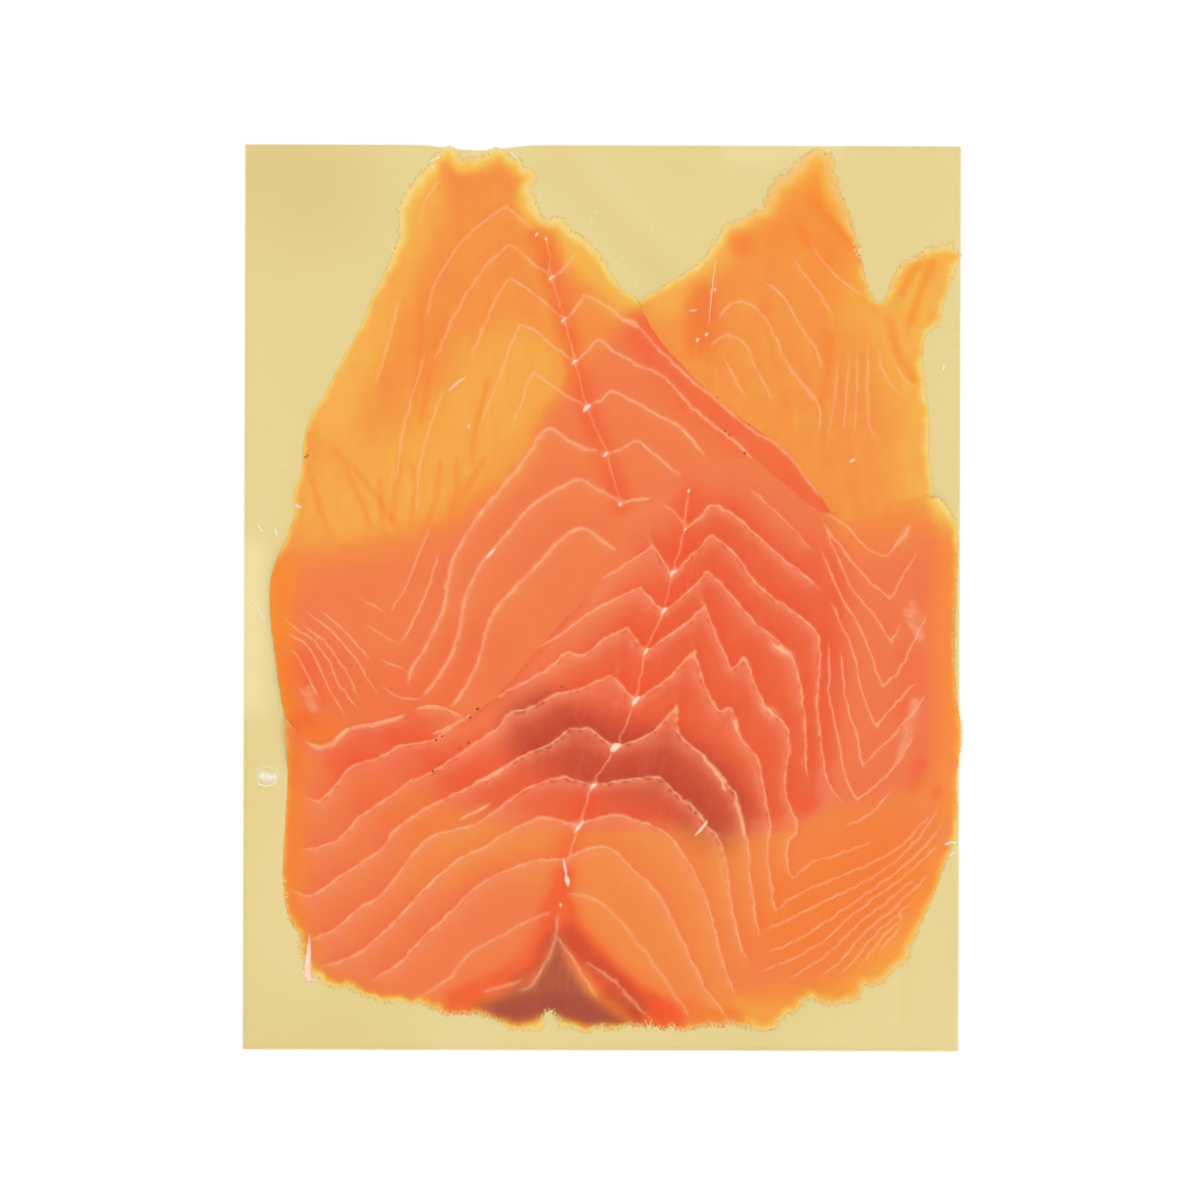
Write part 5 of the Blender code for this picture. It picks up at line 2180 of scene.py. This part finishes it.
SCRAPS = (
    Sliver(((-16.1, 85.7), (-15.4, 86.7)), 0.3),
    Sliver(((-13.7, 84.8), (-13.2, 85.5)), 0.3),
    Sliver(((-12.8, 75.3), (-12.1, 76), (-11.3, 76.2)), 0.4),
    Sliver(((-9.9, 65.5), (-9.2, 66), (-8.7, 66.7)), 0.35),
    Sliver(((-7.3, 55.3), (-6.6, 56), (-5.9, 56.3)), 0.4),
    Sliver(((-4.5, 44.1), (-3.7, 45.1), (-2.8, 45.8)), 0.6),
    Sliver(((0.3, 33.4), (1, 34.2), (1.5, 34.6)), 0.4),
    Sliver(((3.9, 21.8), (4.6, 22.5)), 0.4),
    Sliver(((-27.4, 9.2), (-26.4, 10.4), (-25.4, 11.6)), 0.4),
    Sliver(((-36.5, 48.9), (-34.9, 50.6), (-32.5, 52.2)), 0.3),
    Sliver(((-32, 40.1), (-31.5, 41.1)), 0.4),
    Sliver(((26.4, 72.9), (26.9, 73.6)), 0.3),
    Sliver(((24.3, 62.2), (25, 62.9)), 0.4),
    Sliver(((22.2, 60.8), (22.9, 61.7)), 0.45),
    Sliver(((20.5, 68.1), (22.4, 68.4)), 0.2),
    Sliver(((27.1, 81), (26.4, 76.7), (25.7, 70.8), (25.2, 64.8)), 0.14),
    Sliver(((19.5, 15.9), (20, 16.6)), 0.3),
    Sliver(((20.3, 24.9), (20.7, 25.8)), 0.35),
    Sliver(((16.2, 4.9), (16.7, 5.9), (17.9, 6.4)), 0.4),
    Sliver(((14.1, -3.9), (14.6, -3.1), (15.5, -2.2)), 0.45),
    Sliver(((9.8, -13.6), (10.5, -12.7), (11, -11.9)), 0.4),
    Sliver(((7.2, -25.5), (7.9, -24.5), (9.1, -23.3)), 0.6),
    Sliver(((2.2, -36.4), (3.4, -35.2), (4.6, -34.8)), 0.9),
    Sliver(((-2.6, -45.4), (-2.1, -44.7), (-1.1, -44)), 0.45),
    Sliver(((-6.4, -55.7), (-5.2, -54.2), (-4, -52.8)), 0.45),
    Sliver(((-9, -61.8), (-8.5, -64.2), (-8.2, -66.2)), 0.4),
    Sliver(((-8.4, -65.8), (-8, -67), (-7.8, -68.6)), 0.65),
    Sliver(((-9.7, -72.5), (-9.4, -73.5)), 0.25),
    Sliver(((22.2, -56.4), (23.8, -54.7), (25.2, -52.8)), 0.4),
    Sliver(((-69.2, -80), (-69.3, -84), (-69.6, -88), (-69.4, -91.6)), 1.0, 0.05, 0.86),
    Sliver(((-71, -88.6), (-69.8, -90.2), (-67.8, -91.4)), 0.7, 0.2, 0.5),
)
SPECKS = (
    (27.4, 47.7), (34.8, 41.3), (25.5, 42.7), (29.1, 39.6), (30.2, 38.7), (33.8, 34.4), (-29.4, -26.4),
    (-31.1, -28.6), (-37.7, -32.9), (-39.1, -33.8), (-31.5, -34.5), (-33.4, -35.9), (-38.4, -39.5),
    (-36.1, -40.2), (-39.9, -41.2), (-70.5, 33.2), (-70, 33.6), (-9.5, -21),
)
BUBBLE_FIELDS = (
    ((-9, 95), (26, 72), 90),
    ((-82, 20), (-70, 40), 10),
    ((-60, 90), (-50, 104), 8),
    ((66, 88), (84, 104), 14),
)


def sparkles(
    slices: Sequence[FishSlice], count: int = 70, seed: int = 8, spread: float = 0.5, ragged: float = 0.9
) -> Array:
    """Scatter small sparkles, painted highlights as near-white specks, along the cut ends of the slices.

    Args:
        slices: The slices.
        count: How many sparkles each slice gets.
        seed: Which random places.
        spread: How far they lie from the edge.
        ragged: How ragged the edge is there at least, from 0 to 1.

    Returns:
        The places of the sparkles.
    """
    random = np.random.default_rng(seed)
    found = []
    for fish in slices:
        ends = fish.loop[cut_end(fish.loop) > ragged]
        chosen = ends[random.integers(0, len(ends), count)]
        found.append(chosen + random.normal(0.0, spread, chosen.shape))
    return np.vstack(found)


def bubbles(slices: Sequence[FishSlice], seed: int = 3, clear: float = 0.8) -> Array:
    """Scatter small bubbles over the bare board, most of them in the gap between the tips.

    Args:
        slices: The slices, under which no bubble shows.
        seed: Which random places.
        clear: How far from a slice the bubbles stay.

    Returns:
        The places of the bubbles.
    """
    random = np.random.default_rng(seed)
    places = np.vstack([
        random.uniform(np.minimum(a, b), np.maximum(a, b), (count, 2)) for a, b, count in BUBBLE_FIELDS
    ])
    covered = np.zeros(len(places), bool)
    for fish in slices:
        covered |= inside(fish.loop, places) | (nearest(tree_of(fish.loop), places)[1] < clear)
    return places[~covered]


def on_board(places: Array, board_loop: Array) -> Array:
    """Return those places that lie on the board."""
    return places[inside(board_loop, places)]


def main() -> None:
    """Build the pack piece by piece and set the studio round it."""
    logging.basicConfig(level=logging.INFO, format="%(name)s %(message)s")
    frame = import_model()
    nodes = frame["nodes"]
    low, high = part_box(BOARD.node)
    centre = np.array(((low + high) / 2)[:2]) / MM

    solids = (BOARD, RIGHT_SLICE, LEFT_SLICE, FRONT_SLICE)
    silhouettes = {solid.node: Silhouette(nodes[solid.node], centre) for solid in solids}
    board_piece = Piece("board", centre)
    BOARD.built(silhouettes[BOARD.node], board_piece)
    board_piece.obj.data.materials.append(BoardFinish().material())
    board_piece.handed_over((BOARD.node,))

    ground = Ground(centre)
    ground.add(board_piece)
    flesh = FleshFinish().material()
    stack: list[FishSlice] = []
    for fish in (RIGHT_SLICE, LEFT_SLICE, FRONT_SLICE):
        piece = Piece(f"fish_{fish.node}", centre)
        points = fish.built(silhouettes[fish.node], piece, Bed(ground, stack))
        fish.coloured(piece, points, stack)
        piece.obj.data.materials.append(flesh)
        piece.handed_over((fish.node,))
        stack.append(fish)
        ground.add(piece)

    board_loop = silhouettes[BOARD.node].loop
    fringe = Fringe().slivers([fish.loop for fish in stack], board_loop)
    white_fat = SpeckFinish("white_fat", srgb(250, 214, 190), srgb(245, 184, 152))
    pale_fibre = SpeckFinish("pale_fibre", srgb(247, 224, 150), srgb(243, 200, 112))
    dark_speck = SpeckFinish("dark_speck", srgb(150, 60, 32), srgb(104, 44, 26))
    # Bubbles shown as pale specks: their pale colour is a painted highlight.
    bubble_glint = SpeckFinish("bubble_glint", srgb(250, 244, 206), srgb(236, 222, 160), 0.2)
    # Painted highlights: near-white specks that stand in for glints along the cut ends.
    drop = SpeckFinish("drop", srgb(254, 252, 238), srgb(250, 240, 200), 0.2)
    fibres = Slivers(fringe, flatness=0.6, sides=4, step=0.5, wobble=0.4, sunk=0.3)
    specks = Grains(np.array(SPECKS), sizes=(0.18, 0.36), flatness=0.4, seed=1)
    round_ones = Grains(on_board(bubbles(stack), board_loop), sizes=(0.08, 0.2), flatness=0.35, seed=2)
    bright_ones = Grains(on_board(sparkles(stack), board_loop), sizes=(0.06, 0.15), flatness=0.5, seed=4)
    for name, slot, trimming, finish in (
        ("fat_scraps", "smoked_fish", Slivers(SCRAPS), white_fat),
        ("fringe_fibres", "smoked_fish", fibres, pale_fibre),
        ("dark_specks", "smoked_fish", specks, dark_speck),
        ("bubbles", "clear_film", round_ones, bubble_glint),
        ("sparkle_highlights", "clear_film", bright_ones, drop),
    ):
        piece = Piece(name, centre)
        trimming.built(ground, piece, finish.material())
        piece.handed_over()

    film_piece = Piece("film", centre)
    ClearFilm(PUCKERS).built(board_loop, stack, ground, film_piece)
    film_piece.obj.data.materials.append(FilmFinish().material())
    film_piece.handed_over()

    Studio().built(centre, high.z / MM)


if __name__ == "__main__":
    main()
